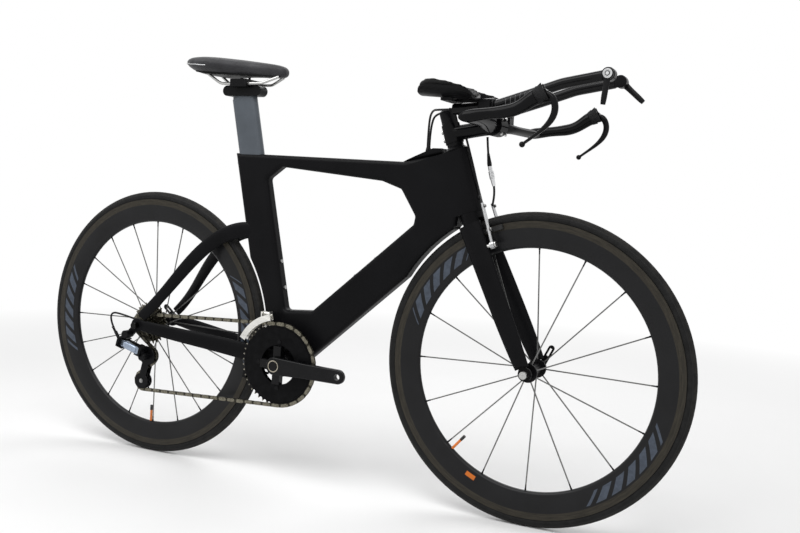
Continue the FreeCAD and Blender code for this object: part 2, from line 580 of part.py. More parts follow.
def wheel_axle(label, centre, spacing):
    """Axle with locknuts, tips in the dropouts, skewer nut on the right and cam cup on the left."""
    half = f"{spacing}/2"
    hub_end = f"({half} - hub_end_gap)"
    lock = f"({hub_end} + hub_gap/2)"
    tip = f"({half} + dropout_thickness)"
    corners = [("0", f"-{tip} - skewer_length"), ("skewer_radius", f"-{tip} - skewer_length"),
               ("skewer_radius", "-" + tip),
               ("axle_tip_radius", "-" + tip), ("axle_tip_radius", "-" + half),
               ("locknut_radius", "-" + half),
               ("locknut_radius", "-" + lock), ("axle_radius", "-" + lock), ("axle_radius", lock),
               ("locknut_radius", lock), ("locknut_radius", half), ("axle_tip_radius", half),
               ("axle_tip_radius", tip),
               ("cup_radius", tip), ("cup_radius", f"{tip} + cup_length"), ("0", f"{tip} + cup_length")]
    return turned(label + "_body", corners, place(centre))


def wheels():
    for name, centre, angle in (("front", FRONT_AXLE, S.front_valve_angle),
                                ("rear", REAR_AXLE, S.rear_valve_angle)):
        wheel_tyre(name + "_tyre", centre)
        wheel_rim(name + "_rim", centre)
        wheel_valve(name + "_valve", centre, angle)
    node("front_axle", wheel_axle("front_axle", FRONT_AXLE, "front_spacing"))
    front_end = "(front_spacing/2 - hub_end_gap)"
    rear_end = "(rear_spacing/2 - hub_end_gap)"
    wheel_hub("front_hub", FRONT_AXLE, "front_flange_place", "front_flange_place", front_end, front_end)
    wheel_hub("rear_hub", REAR_AXLE, "rear_flange_left", "rear_flange_right", rear_end,
              "(rear_flange_right + flange_thickness/2 + turn_gap)")
    wheel_spokes("front_spokes", FRONT_AXLE, S.spoke_count_front,
                 ((1, "front_flange_place"), (-1, "front_flange_place")), 0)
    wheel_spokes("rear_spokes", REAR_AXLE, S.spoke_count_rear,
                 ((1, "rear_flange_left"), (-1, "rear_flange_right")), S.spoke_cross_angle)


# Quick release levers

def quick_release(label, centre, spacing, angle):
    """Cam lever on the left end of an axle, closed along the given angle."""
    along = V(math.cos(math.radians(angle)), 0, math.sin(math.radians(angle)))
    across = SIDE.cross(along)
    face = num(f"{spacing}/2 + dropout_thickness + cup_length + qr_gap + qr_barrel_radius")
    middle = centre + SIDE * face
    barrel = rod(label + "_barrel", middle - across * (S.qr_barrel_length / 2), across, "qr_barrel_radius",
                 "qr_barrel_length")
    half = "qr_width/2"
    reach = f"qr_length - {half}"
    corners = [("0", "-" + half), (reach, "-" + half, half, 1), ("qr_length", "0", half, 1), (reach, half),
               ("0", half)]
    slot_in, slot_out = "qr_length/2", f"qr_length - {half}"
    blade = plate(label + "_blade", corners, "qr_thickness", frame_of(middle, along, across),
                  rounding="qr_thickness/4")
    blade.Placement = FreeCAD.Placement(middle, FreeCAD.Rotation(along, SIDE, along.cross(SIDE), "XYZ"))
    slot = block(label + "_slot", middle + along * num(f"({slot_in} + {slot_out})/2") - SIDE * S.overrun,
                 along, SIDE,
                 f"({slot_out}) - ({slot_in})", "qr_slot_width", "2*overrun")
    node(label, less(label + "_all", joined(label + "_solid", [barrel, blade]), [slot]))


# Frame

def wheel_arc_x(sign, height, gap):
    """X of a wheel clearance circle at a height, on the inner side of the wheel."""
    radius = f"(tyre_radius + {gap})"
    return f"({sign}*wheelbase/2 - {sign}*sqrt({radius}^2 - ({height} - tyre_radius)^2))"


def front_arc_z(x):
    return f"(tyre_radius + sqrt((tyre_radius + tyre_gap_front)^2 - (wheelbase/2 - {x})^2))"


def named_edges(shape, test):
    return [f"Edge{i + 1}" for i, e in enumerate(shape.Edges) if test(e)]


def main_frame():
    """Moulded front triangle: side outline padded, tapered in plan, rounded, then the shell, bores and socket."""
    body = doc.addObject("PartDesign::Body", "frame_body")
    outline = sketch_on(body, "XZ_Plane", "frame_outline")
    tangent = "42"
    low = (f"({BB_X} + bb_shell_radius*sin({tangent}*1deg))",
           f"({BB_Z} - bb_shell_radius*cos({tangent}*1deg))")
    back = (f"({BB_X} - bb_shell_radius*sin({tangent}*1deg))", low[1])
    draw(outline, [("-top_rear_x", "top_rear_z"), ("top_front_x", "top_front_z"),
                   (axis_x("head_top", "-head_rear"), axis_z("head_top", "-head_rear")),
                   (axis_x("head_top", "head_front"), axis_z("head_top", "head_front")),
                   (axis_x("head_bottom", "head_front"), axis_z("head_bottom", "head_front")),
                   (axis_x("head_bottom", "-head_rear"), axis_z("head_bottom", "-head_rear")),
                   ("frame_nose_x", front_arc_z("frame_nose_x"), "tyre_radius + tyre_gap_front", 1),
                   ("tube_kink_x", front_arc_z("tube_kink_x")), (low[0], low[1], "bb_shell_radius", -1), back,
                   (wheel_arc_x("-1", "cutout_low_z", "tyre_gap_rear"), "cutout_low_z",
                    "tyre_radius + tyre_gap_rear", 1),
                   (wheel_arc_x("-1", "cutout_top_z", "tyre_gap_rear"), "cutout_top_z")])
    draw(outline, [("-hole_seat_x", "hole_seat_z"), ("-hole_gusset_x", "hole_gusset_z"),
                   ("hole_top_x", "hole_top_z"),
                   ("hole_bend_x", "hole_bend_z"), ("hole_head_x", "hole_head_z"),
                   ("hole_down_x", "hole_down_z"),
                   ("-hole_floor_x", "hole_floor_z"), ("-hole_corner_x", "hole_corner_z")])
    pad = body.newObject("PartDesign::Pad", "frame_pad_side")
    pad.Profile = outline
    pad.SideType = "Symmetric"
    pad.setExpression("Length", linked("frame_pad"))
    doc.recompute()
    inside = [V(-S.hole_seat_x, 0, S.hole_seat_z), V(-S.hole_gusset_x, 0, S.hole_gusset_z),
              V(S.hole_top_x, 0, S.hole_top_z), V(S.hole_bend_x, 0, S.hole_bend_z),
              V(S.hole_head_x, 0, S.hole_head_z),
              V(S.hole_down_x, 0, S.hole_down_z), V(-S.hole_floor_x, 0, S.hole_floor_z),
              V(-S.hole_corner_x, 0, S.hole_corner_z)]
    kink = [V(S.top_front_x, 0, S.top_front_z), V(S.tube_kink_x, 0, num(front_arc_z("tube_kink_x"))),
            V(num(wheel_arc_x("-1", "cutout_top_z", "tyre_gap_rear")), 0, S.cutout_top_z)]

    def near(edge, spots):
        points = [v.Point for v in edge.Vertexes]
        if len(points) != 2 or abs((points[1] - points[0]).normalize().y) < 0.99:
            return False
        flat_point = V(points[0].x, 0, points[0].z)
        return any((flat_point - s).Length < S.seat_gap for s in spots)

    corners = body.newObject("PartDesign::Fillet", "frame_corners")
    corners.Base = (pad, named_edges(pad.Shape, lambda e: near(e, inside + kink)))
    corners.setExpression("Radius", linked("hole_round"))
    plan = sketch_on(body, "XY_Plane", "frame_plan")
    tail, nose = "-top_rear_x - plan_margin", "wheelbase/2"
    for sign in ("", "-"):
        draw(plan, [(tail, f"{sign}tail_width/2"), (nose, f"{sign}head_width/2"), (nose, f"{sign}frame_pad"),
                    (tail, f"{sign}frame_pad")])
    taper = body.newObject("PartDesign::Pocket", "frame_taper")
    taper.Profile = plan
    taper.Type = "ThroughAll"
    taper.SideType = "Symmetric"
    doc.recompute()
    head_front = [on_axis(S.head_bottom, S.head_front), on_axis(S.head_top, S.head_front)]
    head_ends = [on_axis(S.head_bottom), on_axis(S.head_top)]

    def outline_edge(edge):
        middle = edge.valueAt((edge.FirstParameter + edge.LastParameter) / 2)
        ends = [v.Point for v in edge.Vertexes]
        if abs((ends[-1] - ends[0]).y) > S.tail_width / 2 or abs(middle.y) < S.seat_gap:
            return False
        return not any(abs((middle - h).dot(STEER)) < S.seat_gap for h in head_ends)

    def on_head_front(edge):
        middle = edge.valueAt((edge.FirstParameter + edge.LastParameter) / 2)
        return abs((middle - head_front[0]).dot(FORE)) < S.seat_gap

    soft = body.newObject("PartDesign::Fillet", "frame_edges")
    soft.Base = (taper, named_edges(taper.Shape, lambda e: outline_edge(e) and not on_head_front(e)))
    soft.setExpression("Radius", linked("edge_round"))
    doc.recompute()
    nose_round = body.newObject("PartDesign::Fillet", "frame_head_round")
    nose_round.Base = (soft, named_edges(soft.Shape, lambda e: outline_edge(e) and on_head_front(e)))
    nose_round.setExpression("Radius", linked("head_round"))
    doc.recompute()
    shell = rod("bb_shell", BB - SIDE * (S.bb_shell_width / 2), SIDE, "bb_shell_radius", "bb_shell_width")
    bb_hole = rod("bb_hole", BB - SIDE * S.bb_shell_width, SIDE, "bb_bore", "2*bb_shell_width")
    head_hole = rod("head_hole", on_axis(S.head_bottom - S.overrun), STEER, "head_bore",
                    "head_top - head_bottom + 2*overrun")
    crown_hole = rod("crown_hole", on_axis(S.leg_notch_top - S.crown_flare), STEER, "crown_notch",
                     "head_bottom - leg_notch_top + crown_flare")
    leg_hole = rod("leg_hole", on_axis(S.leg_notch_top - S.crown_flare), STEER, "leg_notch", "crown_flare")
    socket = post_section("post_socket", "post_gap", post_start() - SEAT_UP * (S.post_socket - S.post_bottom),
                          "post_socket + overrun")
    node("main_frame", less("frame_all", joined("frame_shell", [body, shell]),
                            [bb_hole, head_hole, crown_hole, leg_hole, socket]))


SEAT_UP = V(-math.cos(SEAT), 0, math.sin(SEAT))
SEAT_FORE = V(math.sin(SEAT), 0, math.cos(SEAT))


def post_start():
    """Middle of the seatpost where it leaves the frame, moved down by the length that stays inside."""
    top = V(-S.top_rear_x, 0, S.top_rear_z) + SEAT_FORE * (S.post_chord / 2 + S.edge_round / 2)
    return top - SEAT_UP * S.post_bottom


def post_section(name, gap, at, length):
    """Bar with flat sides and round ends, as long as given, along the seat tube."""
    half = f"(post_width/2 + {gap})"
    reach = "(post_chord/2 - post_width/2)"
    tip = f"({reach} + {half})"
    corners = [("-" + reach, "-" + half), (reach, "-" + half, half, 1), (tip, "0", half, 1),
               (reach, half), ("-" + reach, half, half, 1), ("-" + tip, "0", half, 1)]
    body = doc.addObject("PartDesign::Body", name)
    sketch = sketch_on(body, "XY_Plane", name + "_sketch")
    draw(sketch, corners)
    pad = body.newObject("PartDesign::Pad", name + "_pad")
    pad.Profile = sketch
    pad.setExpression("Length", linked(length))
    body.Placement = frame_of(at, SEAT_FORE, SEAT_UP)
    return body


def chainstays():
    """Both chainstays with their dropouts, trimmed where they meet the frame."""
    start = BB + V(-S.stay_front_inset, 0, S.stay_front_raise)
    end = REAR_AXLE + AHEAD * S.stay_rear_inset
    points = []
    for along, out, _tall, _wide in CHAINSTAY_SHARES:
        place_y = -(S.stay_front_place + (S.stay_rear_place - S.stay_front_place) * out)
        points.append(start + (end - start) * along + SIDE * place_y)
    ways = slopes(points)
    stations = [(p, w, UP - w * UP.dot(w), f"chainstay_height*{r[2]}/2", f"chainstay_width*{r[3]}/2")
                for p, w, r in zip(points, ways, CHAINSTAY_SHARES)]
    stay = loft("chainstay_loft", stations)
    inner = REAR_AXLE - SIDE * num("rear_spacing/2 + dropout_thickness")
    tip = rod("dropout_disc", inner, SIDE, "dropout_radius", "dropout_thickness")
    room = rod("dropout_room", REAR_AXLE - SIDE * (S.rear_spacing / 2), SIDE, "dropout_radius*2",
               "rear_spacing")
    outside = rod("dropout_outside", inner - SIDE * S.skewer_length * 2, SIDE,
                  f"dropout_radius*{DROPOUT_ROOM_SHARE}", "skewer_length*2")
    hole = rod("dropout_hole", inner - SIDE * S.overrun, SIDE, "axle_tip_radius + seat_gap",
               "dropout_thickness + 2*overrun")
    bonded = less("chainstay_cut", joined("chainstay_solid", [stay, tip]),
                  [room, outside, hole, NODES["main_frame"]])
    node("chainstays", group("chainstay_pair", [bonded, mirrored("chainstay_left", bonded)]))


def seatstays():
    """Both seatstays with their yoke at the seat tube, trimmed at the frame and at the dropouts."""
    start = V(-S.seatstay_start_x, 0, S.seatstay_start_z)
    end = REAR_AXLE + V(S.seatstay_end_x, 0, S.seatstay_end_z)
    run = end - start
    lift = V(run.z, 0, -run.x).normalize() * -run.Length
    lift = lift if lift.z > 0 else lift * -1
    points = []
    for along, rise, out, _tall, _wide in SEATSTAY_SHARES:
        side = -(S.seatstay_start_place + (S.stay_rear_place - S.seatstay_start_place) * out)
        points.append(start + run * along + lift * rise + SIDE * side)
    ways = slopes(points)
    ways[0] = AHEAD * -1
    stations = [(p, w, UP - w * UP.dot(w), f"seatstay_height*{r[3]}/2", f"seatstay_width*{r[4]}/2")
                for p, w, r in zip(points, ways, SEATSTAY_SHARES)]
    right = loft("seatstay_loft", stations)
    pair = joined("seatstay_pair", [right, mirrored("seatstay_left", right)])
    room = rod("seatstay_room", REAR_AXLE - SIDE * (S.rear_spacing / 2), SIDE, "dropout_radius*3",
               "rear_spacing")
    inside = post_section("seatstay_socket", "post_gap + seat_gap",
                          post_start() - SEAT_UP * num("post_socket - post_bottom + overrun"),
                          "post_socket + overrun")
    node("seatstays", less("seatstay_cut", pair, [NODES["main_frame"], NODES["chainstays"], room, inside]))


def cable_cover():
    """Low fairing behind the stem, set on the top tube."""
    rear_x, top_x = "cover_start_x", "cover_top_x"
    foot_x, foot_z = axis_x("head_top", "-head_rear"), axis_z("head_top", "-head_rear")
    slope = f"(({foot_z} - top_front_z)/({foot_x} - top_front_x))"
    lift = "seat_gap"
    top_z = f"(top_front_z + cover_rise + {lift})"
    end_x = f"({foot_x} - cover_gap)"
    corners = [(rear_x, f"top_front_z + 2*{lift}"), ("top_front_x", f"top_front_z + 2*{lift}"),
               (end_x, f"(top_front_z + {lift} + ({end_x} - top_front_x)*{slope})"),
               (f"({end_x} - cover_gap)", top_z),
               (top_x, top_z)]
    body = plate("cover_body", corners, "cover_width", FreeCAD.Placement())
    clear = rod("cover_clear", on_axis(S.head_top - S.overrun), STEER, "head_rear + cover_gap/2",
                "cover_rise*2")
    doc.recompute()
    wedge = less("cover_cut", body, [clear, NODES["main_frame"]])
    doc.recompute()
    top = [i + 1 for i, e in enumerate(wedge.Shape.Edges)
           if abs(e.CenterOfMass.y) > S.cover_width / 2 - S.seat_gap and e.CenterOfMass.z > S.top_front_z
           + S.cover_round
           and abs(e.CenterOfMass.z - S.top_front_z) > S.cover_round and e.tangentAt(e.FirstParameter).x > 0.8]
    rounded = doc.addObject("Part::Fillet", "cover_round_edges")
    rounded.Base = wedge
    rounded.Edges = [(i, S.cover_round, S.cover_round) for i in top]
    node("cable_cover", rounded)


def frame_bearings():
    """Two headset bearings and two bottom bracket cups."""
    low = on_axis(S.head_bottom)
    high = on_axis(S.head_top - S.bearing_height)
    parts = []
    for name, at in (("low", low), ("high", high)):
        ring = rod(f"bearing_{name}", at, STEER, "head_bore - seat_gap/2", "bearing_height")
        bore = rod(f"bearing_{name}_bore", at - STEER * S.overrun, STEER, "steerer_radius + run_fit",
                   "bearing_height + 2*overrun")
        parts.append(less(f"bearing_{name}_ring", ring, [bore]))
    inner = "(bb_shell_width/2 - bearing_height)"
    face = "bb_shell_width/2"
    corners = [("spindle_radius + run_fit", inner), ("bb_bore - seat_gap/2", inner),
               ("bb_bore - seat_gap/2", face),
               ("bb_cup_radius", face), ("bb_cup_radius", f"{face} + bb_cup_length"),
               ("spindle_radius + run_fit", f"{face} + bb_cup_length")]
    cup = turned("bb_cup_left", corners, place(BB))
    return parts + [cup, mirrored("bb_cup_right", cup)]


def frame_bolts():
    """Bottle bolts on the down tube and seat tube, and the bolt that clamps the seatpost."""
    parts = []
    floor, head = V(-S.hole_floor_x, 0, S.hole_floor_z), V(S.hole_down_x, 0, S.hole_down_z)
    corner, seat = V(-S.hole_corner_x, 0, S.hole_corner_z), V(-S.hole_seat_x, 0, S.hole_seat_z)
    for name, a, b, shares in (("down", floor, head, DOWN_BOLT_SHARES),
                               ("seat", corner, seat, SEAT_BOLT_SHARES)):
        along = (b - a).normalize()
        out = V(along.z, 0, -along.x)
        out = out * (-1 if name == "down" else 1)
        for i, share in enumerate(shares):
            parts.append(rod(f"bottle_bolt_{name}_{i}", a + (b - a) * share, out, "bolt_head_radius",
                             "bolt_head_length"))
    rear = V(-S.top_rear_x, 0, S.top_rear_z) - SEAT_UP * num("corner_round + edge_round + bolt_head_radius")
    parts.append(rod("post_bolt", rear, SEAT_FORE * -1, "bolt_head_radius", "bolt_head_length"))
    return parts


# Seatpost and saddle

def seatpost():
    base = post_start()
    post = post_section("seatpost_body", "0", base, "post_bottom + post_top")
    node("seatpost", post)


def saddle_clamp():
    """Cradle on the post, yoke over the rails and two bolts."""
    top = post_start() + SEAT_UP * (S.post_bottom + S.post_top)
    under = V(top.x, 0, S.rail_height - S.rail_radius - S.clamp_height)
    cradle = block("cradle_block", under, AHEAD, UP, "clamp_length", "clamp_width", "clamp_height")
    rear = rod("cradle_drum", under + V(-S.clamp_length / 2, -S.clamp_width / 2, S.clamp_height / 2), SIDE,
               "clamp_height/2", "clamp_width")
    front = rod("cradle_nose", under + V(S.clamp_length / 2, -S.clamp_width / 2, S.clamp_height / 2), SIDE,
                "clamp_height/2", "clamp_width")
    seat = V(top.x, 0, S.rail_height - S.rail_radius)
    shelf = block("cradle_shelf", seat - UP * (S.yoke_height / 2), AHEAD, UP, "yoke_length", "yoke_width",
                  "yoke_height")
    yoke = block("yoke_block", seat + UP * (S.yoke_height / 2 + S.seat_gap), AHEAD, UP, "yoke_length",
                 "yoke_width",
                 "yoke_height")
    rails = [rod(f"rail_groove_{side}", V(top.x - S.yoke_length, side * S.rail_place, S.rail_height), AHEAD,
                 "rail_radius + seat_gap", "2*yoke_length") for side in (1, -1)]
    bolts = [rod(f"clamp_bolt_{side}", seat + V(side * S.yoke_length / 4, 0,
                                                S.yoke_height * 3 / 2 + S.seat_gap), UP,
                 "clamp_bolt_radius", "clamp_bolt_radius*2") for side in (1, -1)]
    low = less("cradle_cut", joined("cradle", [cradle, rear, front, shelf]), rails + [NODES["seatpost"]])
    high = less("yoke_cut", yoke, rails + [low])
    node("saddle_clamp", group("saddle_clamp_group", [low, high] + bolts))


def saddle_rails():
    """Two rails from the nose of the shell to its rear."""
    parts = []
    for side in (1, -1):
        points = [V(-S.rail_front_x, side * S.rail_place / 2, S.rail_height + S.rail_rise_front),
                  V(-S.rail_bend_front_x, side * S.rail_place, S.rail_height),
                  V(-S.rail_bend_rear_x, side * S.rail_place, S.rail_height),
                  V(-S.rail_rear_x, side * S.rail_place * RAIL_FLARE_SHARE, S.rail_height + S.rail_rise_rear)]
        parts.append(tube(points, S.rail_bend_radius, S.rail_radius))
    rails = shaped("rail_pair", Part.Compound(parts))
    node("saddle_rails", less("rail_cut", rails, [NODES["saddle_shell"], NODES["saddle_cover"]]))


def soft_section(x, half, low, high, shoulder, tuck, sag, crown):
    """Closed outline across a soft piece: floor, two drawn-in sides and a crowned top, each an arc or a line."""
    tip = half * shoulder
    a, b = V(x, -half * tuck, low + sag), V(x, half * tuck, low + sag)
    c, d = V(x, tip, high - crown), V(x, -tip, high - crown)
    middle = (low + sag + high - crown) / 2
    floor = Part.Arc(a, V(x, 0, low), b).toShape() if sag else Part.LineSegment(a, b).toShape()
    edges = [floor, Part.Arc(b, V(x, half, middle), c).toShape(), Part.Arc(c, V(x, 0, high), d).toShape(),
             Part.Arc(d, V(x, -half, middle), a).toShape()]
    return Part.Wire(edges)


def saddle():
    """Padded cover on a thin shell, nose a little down."""
    rear, half = -S.saddle_rear_x, S.saddle_width / 2
    pivot = V(rear + S.saddle_length / 2, 0, S.saddle_base_z)
    sections = []
    for along, wide, floor, top in SADDLE_SHARES:
        low = S.saddle_base_z + S.saddle_height * floor
        high = S.saddle_base_z + S.saddle_height * top
        crown = (high - low) * SADDLE_CROWN_SHARE
        sections.append(soft_section(rear + S.saddle_length * along, half * wide, low, high,
                                     SADDLE_SHOULDER_SHARE,
                                     SADDLE_TUCK_SHARE, 0, crown))
    cover = Part.makeLoft(sections, True, False)
    cover.rotate(pivot, SIDE, S.saddle_angle)
    node("saddle_cover", shaped("saddle_cover_shape", cover))
    inner = []
    for along, wide, floor, _top in SADDLE_SHARES:
        if not SHELL_START_SHARE <= along <= SHELL_END_SHARE:
            continue
        x = rear + S.saddle_length * along
        reach = half * wide * SADDLE_TUCK_SHARE * SHELL_WIDTH_SHARE
        top = S.saddle_base_z + S.saddle_height * floor - S.seat_gap
        low = top - S.shell_thickness
        inner.append(Part.makePolygon([V(x, -reach, low), V(x, reach, low), V(x, reach, top),
                                       V(x, -reach, top),
                                       V(x, -reach, low)]))
    shell = Part.makeLoft(inner, True, False)
    shell.rotate(pivot, SIDE, S.saddle_angle)
    node("saddle_shell", less("saddle_shell_cut", shaped("saddle_shell_shape", shell),
                              [NODES["saddle_cover"]]))


# Fork and steering

def fork():
    """Crown, two bladed legs, tips and steerer, cut clear of the tyre."""
    top = S.head_bottom - S.turn_gap
    crown = loft("crown_loft", [
        (on_axis(top), STEER, SIDE, "crown_width/2", "crown_depth/2"),
        (on_axis(top - S.crown_length), STEER, SIDE, "crown_width/2", "crown_depth/2"),
        (on_axis(top - S.crown_length - S.crown_flare), STEER, SIDE, "crown_low_width/2", "crown_depth/2")])
    crown_at = on_axis(S.leg_top_reach)
    leg_way = (crown_at - FRONT_AXLE).normalize()
    start = FRONT_AXLE + leg_way * (crown_at - FRONT_AXLE).Length
    end = FRONT_AXLE + leg_way * S.leg_foot_reach
    points, chords = [], []
    for along, chord, thick, out in FORK_LEG_SHARES:
        side = -(S.leg_top_place + (S.leg_foot_place - S.leg_top_place) * out)
        points.append(start + (end - start) * along + SIDE * side)
        chords.append((f"leg_chord*{chord}/2", f"leg_thickness*{thick}/2"))
    across = V(leg_way.z, 0, -leg_way.x)
    leg = loft("fork_leg", [(p, leg_way * -1, across, c[0], c[1]) for p, c in zip(points, chords)])
    inner = FRONT_AXLE - SIDE * num("front_spacing/2 + dropout_thickness")
    tip = rod("fork_tip", inner, SIDE, "fork_tip_radius", "dropout_thickness")
    side = joined("fork_side", [leg, tip])
    steerer = rod("steerer", on_axis(top - S.crown_length / 2), STEER, "steerer_radius",
                  "steerer_top - head_bottom + turn_gap + crown_length/2")
    slot = rod("wheel_slot", FRONT_AXLE - SIDE * (S.fork_slot / 2), SIDE, "tyre_radius + tyre_room",
               "fork_slot")
    hub_room = rod("front_hub_room", FRONT_AXLE - SIDE * (S.front_spacing / 2), SIDE,
                   f"fork_tip_radius*{FORK_HUB_ROOM_SHARE}", "front_spacing")
    hole = rod("fork_tip_hole", FRONT_AXLE - SIDE * S.front_spacing, SIDE, "axle_tip_radius + seat_gap",
               "2*front_spacing")
    outsides = []
    for sign in (1, -1):
        face = FRONT_AXLE + SIDE * (sign * num("front_spacing/2 + dropout_thickness"))
        outsides.append(rod(f"fork_outside_{'left' if sign > 0 else 'right'}", face, SIDE * sign,
                            f"fork_tip_radius*{FORK_TIP_ROOM_SHARE}", "skewer_length*2"))
    whole = joined("fork_whole", [crown, side, mirrored("fork_left", side), steerer])
    node("fork", less("fork_cut", whole, [slot, hub_room, hole] + outsides))


def headset_spacers():
    """Cover on the head tube, spacers under and over the stem, and the top cap with its bolt."""
    low = "(head_top + turn_gap)"
    ring = "spacer_radius"
    bore = "steerer_radius + seat_gap/2"
    stem_top = "(stem_low + stem_clamp_height)"
    lower = [(bore, low), ("head_rear", low), ("head_rear", f"{low} + turn_gap"),
             (ring, f"{low} + cover_height"),
             (ring, "stem_low - seat_gap"), (bore, "stem_low - seat_gap")]
    upper = [(bore, f"{stem_top} + seat_gap"), (ring, f"{stem_top} + seat_gap"), (ring, "steerer_top"),
             (bore, "steerer_top")]
    cap = [("0", "steerer_top + seat_gap"), (ring, "steerer_top + seat_gap"),
           (ring, "steerer_top + cap_height/2"),
           ("spacer_radius - cap_height/2", "steerer_top + cap_height"), ("0", "steerer_top + cap_height")]
    spot = FreeCAD.Placement(STEER_FOOT, FreeCAD.Rotation(SIDE, STEER))
    parts = [turned("headset_cover", lower, spot), turned("top_spacers", upper, spot),
             turned("top_cap", cap, spot)]
    node("headset_spacers", group("spacer_group", parts))


def stem():
    """Stem with its steerer clamp and bar clamp; the face plate is a solid of its own."""
    low = on_axis(S.stem_low)
    middle = on_axis(num("stem_low + stem_clamp_height/2"))
    clamp = rod("stem_clamp", low, STEER, "stem_clamp_radius", "stem_clamp_height")
    way = (BAR - middle).normalize()
    arm = loft("stem_arm", [(middle + (BAR - middle) * t, way, SIDE, f"stem_width*{w}/2",
                             f"stem_height*{h}/2")
                            for t, w, h in STEM_SHARES])
    ring = rod("bar_clamp", BAR - SIDE * (S.bar_clamp_width / 2), SIDE, "bar_clamp_radius", "bar_clamp_width")
    bar_hole = rod("bar_hole", BAR - SIDE * S.bar_clamp_width, SIDE, "bar_radius + seat_gap/2",
                   "2*bar_clamp_width")
    steerer_hole = rod("steerer_hole", low - STEER * S.overrun, STEER, "steerer_radius + seat_gap/2",
                       "stem_clamp_height + 2*overrun")
    front = block("face_room", BAR, UP, AHEAD, "4*bar_clamp_radius", "2*bar_clamp_width",
                  "2*bar_clamp_radius")
    body = less("stem_cut", joined("stem_solid", [clamp, arm, ring]), [bar_hole, steerer_hole, front])
    face_ring = rod("face_ring", BAR - SIDE * (S.bar_clamp_width / 2), SIDE, "bar_clamp_radius",
                    "bar_clamp_width")
    back = block("face_back", BAR + AHEAD * S.face_gap, UP, AHEAD * -1, "4*bar_clamp_radius",
                 "2*bar_clamp_width",
                 "4*bar_clamp_radius")
    face_hole = rod("face_hole", BAR - SIDE * S.bar_clamp_width, SIDE, "bar_radius + seat_gap/2",
                    "2*bar_clamp_width")
    face = less("stem_face", face_ring, [face_hole, back])
    node("stem", group("stem_group", [body, face]))


def base_bar():
    """Round middle, swept wing and a horn at each end."""
    middle = rod("bar_middle", BAR - SIDE * S.bar_round_half, SIDE, "bar_radius", "2*bar_round_half")
    stations = []
    run = S.wing_end - S.bar_round_half
    for along, flat_share, out in WING_SHARES:
        centre = BAR + SIDE * -(S.bar_round_half + run * along) + AHEAD * (S.wing_sweep * along)
        stations.append((centre, SIDE * -1, AHEAD, f"bar_radius + (wing_chord/2 - bar_radius)*{out}",
                         f"bar_radius + (wing_thickness/2 - bar_radius)*{flat_share}"))
    wing = loft("bar_wing", stations)
    points = horn_points()
    ways = slopes(points)
    horn = loft("bar_horn", [(p, w, SIDE, f"horn_width*{wide}/2 + horn_height*{max(tall - wide, 0)}/2",
                              f"horn_height*{tall}/2")
                             for p, w, (_a, _r, tall, wide) in zip(points, ways, HORN_SHARES)])
    side = joined("bar_side", [wing, horn])
    node("base_bar", joined("bar_whole", [middle, side, mirrored("bar_left", side)]))


def horn_points(side=-1):
    start = BAR + V(0, side * S.horn_place, 0)
    return [start + V(S.horn_length * along, 0, S.horn_rise * rise) for along, rise, _t, _w in HORN_SHARES]


def lever_pivot(side=-1):
    tip, before = horn_points(side)[-1], horn_points(side)[-2]
    way = (tip - before).normalize()
    return tip + way * (S.lever_body_length - S.lever_hub_radius / 2)


def brake_levers():
    """Lever bodies on the horn ends, each with a slot and pin, and the two blades."""
    points = horn_points()
    way = (points[-1] - points[-2]).normalize()
    tall = SIDE.cross(way)
    start = points[-1] + way * S.seat_gap
    body = loft("lever_body", [
        (start + way * (S.lever_body_length * along), way, tall, f"lever_body_height*{high}/2",
         f"lever_body_width*{wide}/2")
        for along, high, wide in LEVER_BODY_SHARES])
    pivot = lever_pivot()
    slot = rod("lever_slot_room", pivot - SIDE * (S.lever_slot / 2), SIDE, "lever_hub_radius + hub_gap",
               "lever_slot")
    mouth = block("lever_mouth", pivot - way * (S.lever_hub_radius * LEVER_MOUTH_SHARE), tall, way,
                  "lever_body_height*2", "lever_slot",
                  "lever_body_length")
    pin = rod("lever_pin", pivot - SIDE * (S.lever_body_width / 2), SIDE, "lever_pin_radius",
              "lever_body_width")
    right = joined("lever_body_all", [less("lever_body_cut", body, [slot, mouth]), pin])
    node("brake_lever_bodies", group("lever_body_group", [right, mirrored("lever_body_left", right)]))
    hub = rod("lever_hub", pivot - SIDE * (S.lever_hub_width / 2), SIDE, "lever_hub_radius",
              "lever_hub_width")
    line = [pivot + V(S.lever_reach * a, 0, S.lever_reach * b) for a, b, _wide, _deep in LEVER_SHARES]
    ways = slopes(line)
    blade = loft("lever_blade", [(p, w, SIDE, f"lever_width*{wide}/2", f"lever_depth*{deep}/2")
                                 for p, w, (_a, _b, wide, deep) in zip(line, ways, LEVER_SHARES)])
    ball = add("Part::Sphere", "lever_tip", FreeCAD.Placement(line[-1], FreeCAD.Rotation()),
               Radius="lever_ball")
    hole = rod("lever_hub_hole", pivot - SIDE * S.lever_hub_width, SIDE, "lever_pin_radius + pin_fit",
               "2*lever_hub_width")
    lever = less("lever_all", joined("lever_solid", [hub, blade, ball]), [hole])
    node("brake_lever_right", lever)
    node("brake_lever_left", mirrored("lever_left", lever))


# Extension bars, armrests and shifters

def extension_points(side=-1):
    start = V(S.extension_rear_x, side * S.extension_place, S.extension_rear_z)
    return [start + V(S.extension_length * a, 0, S.extension_rise * r) for a, r in EXTENSION_SHARES]


def extension_bars():
    parts = [tube(extension_points(side), S.extension_bend, S.extension_radius) for side in (-1, 1)]
    node("extension_bars", shaped("extension_pair", Part.Compound(parts)))


def armrest_spot(side=-1):
    return FreeCAD.Placement(V(S.cup_x, side * S.cup_place, S.cup_z), FreeCAD.Rotation(SIDE, S.armrest_angle))


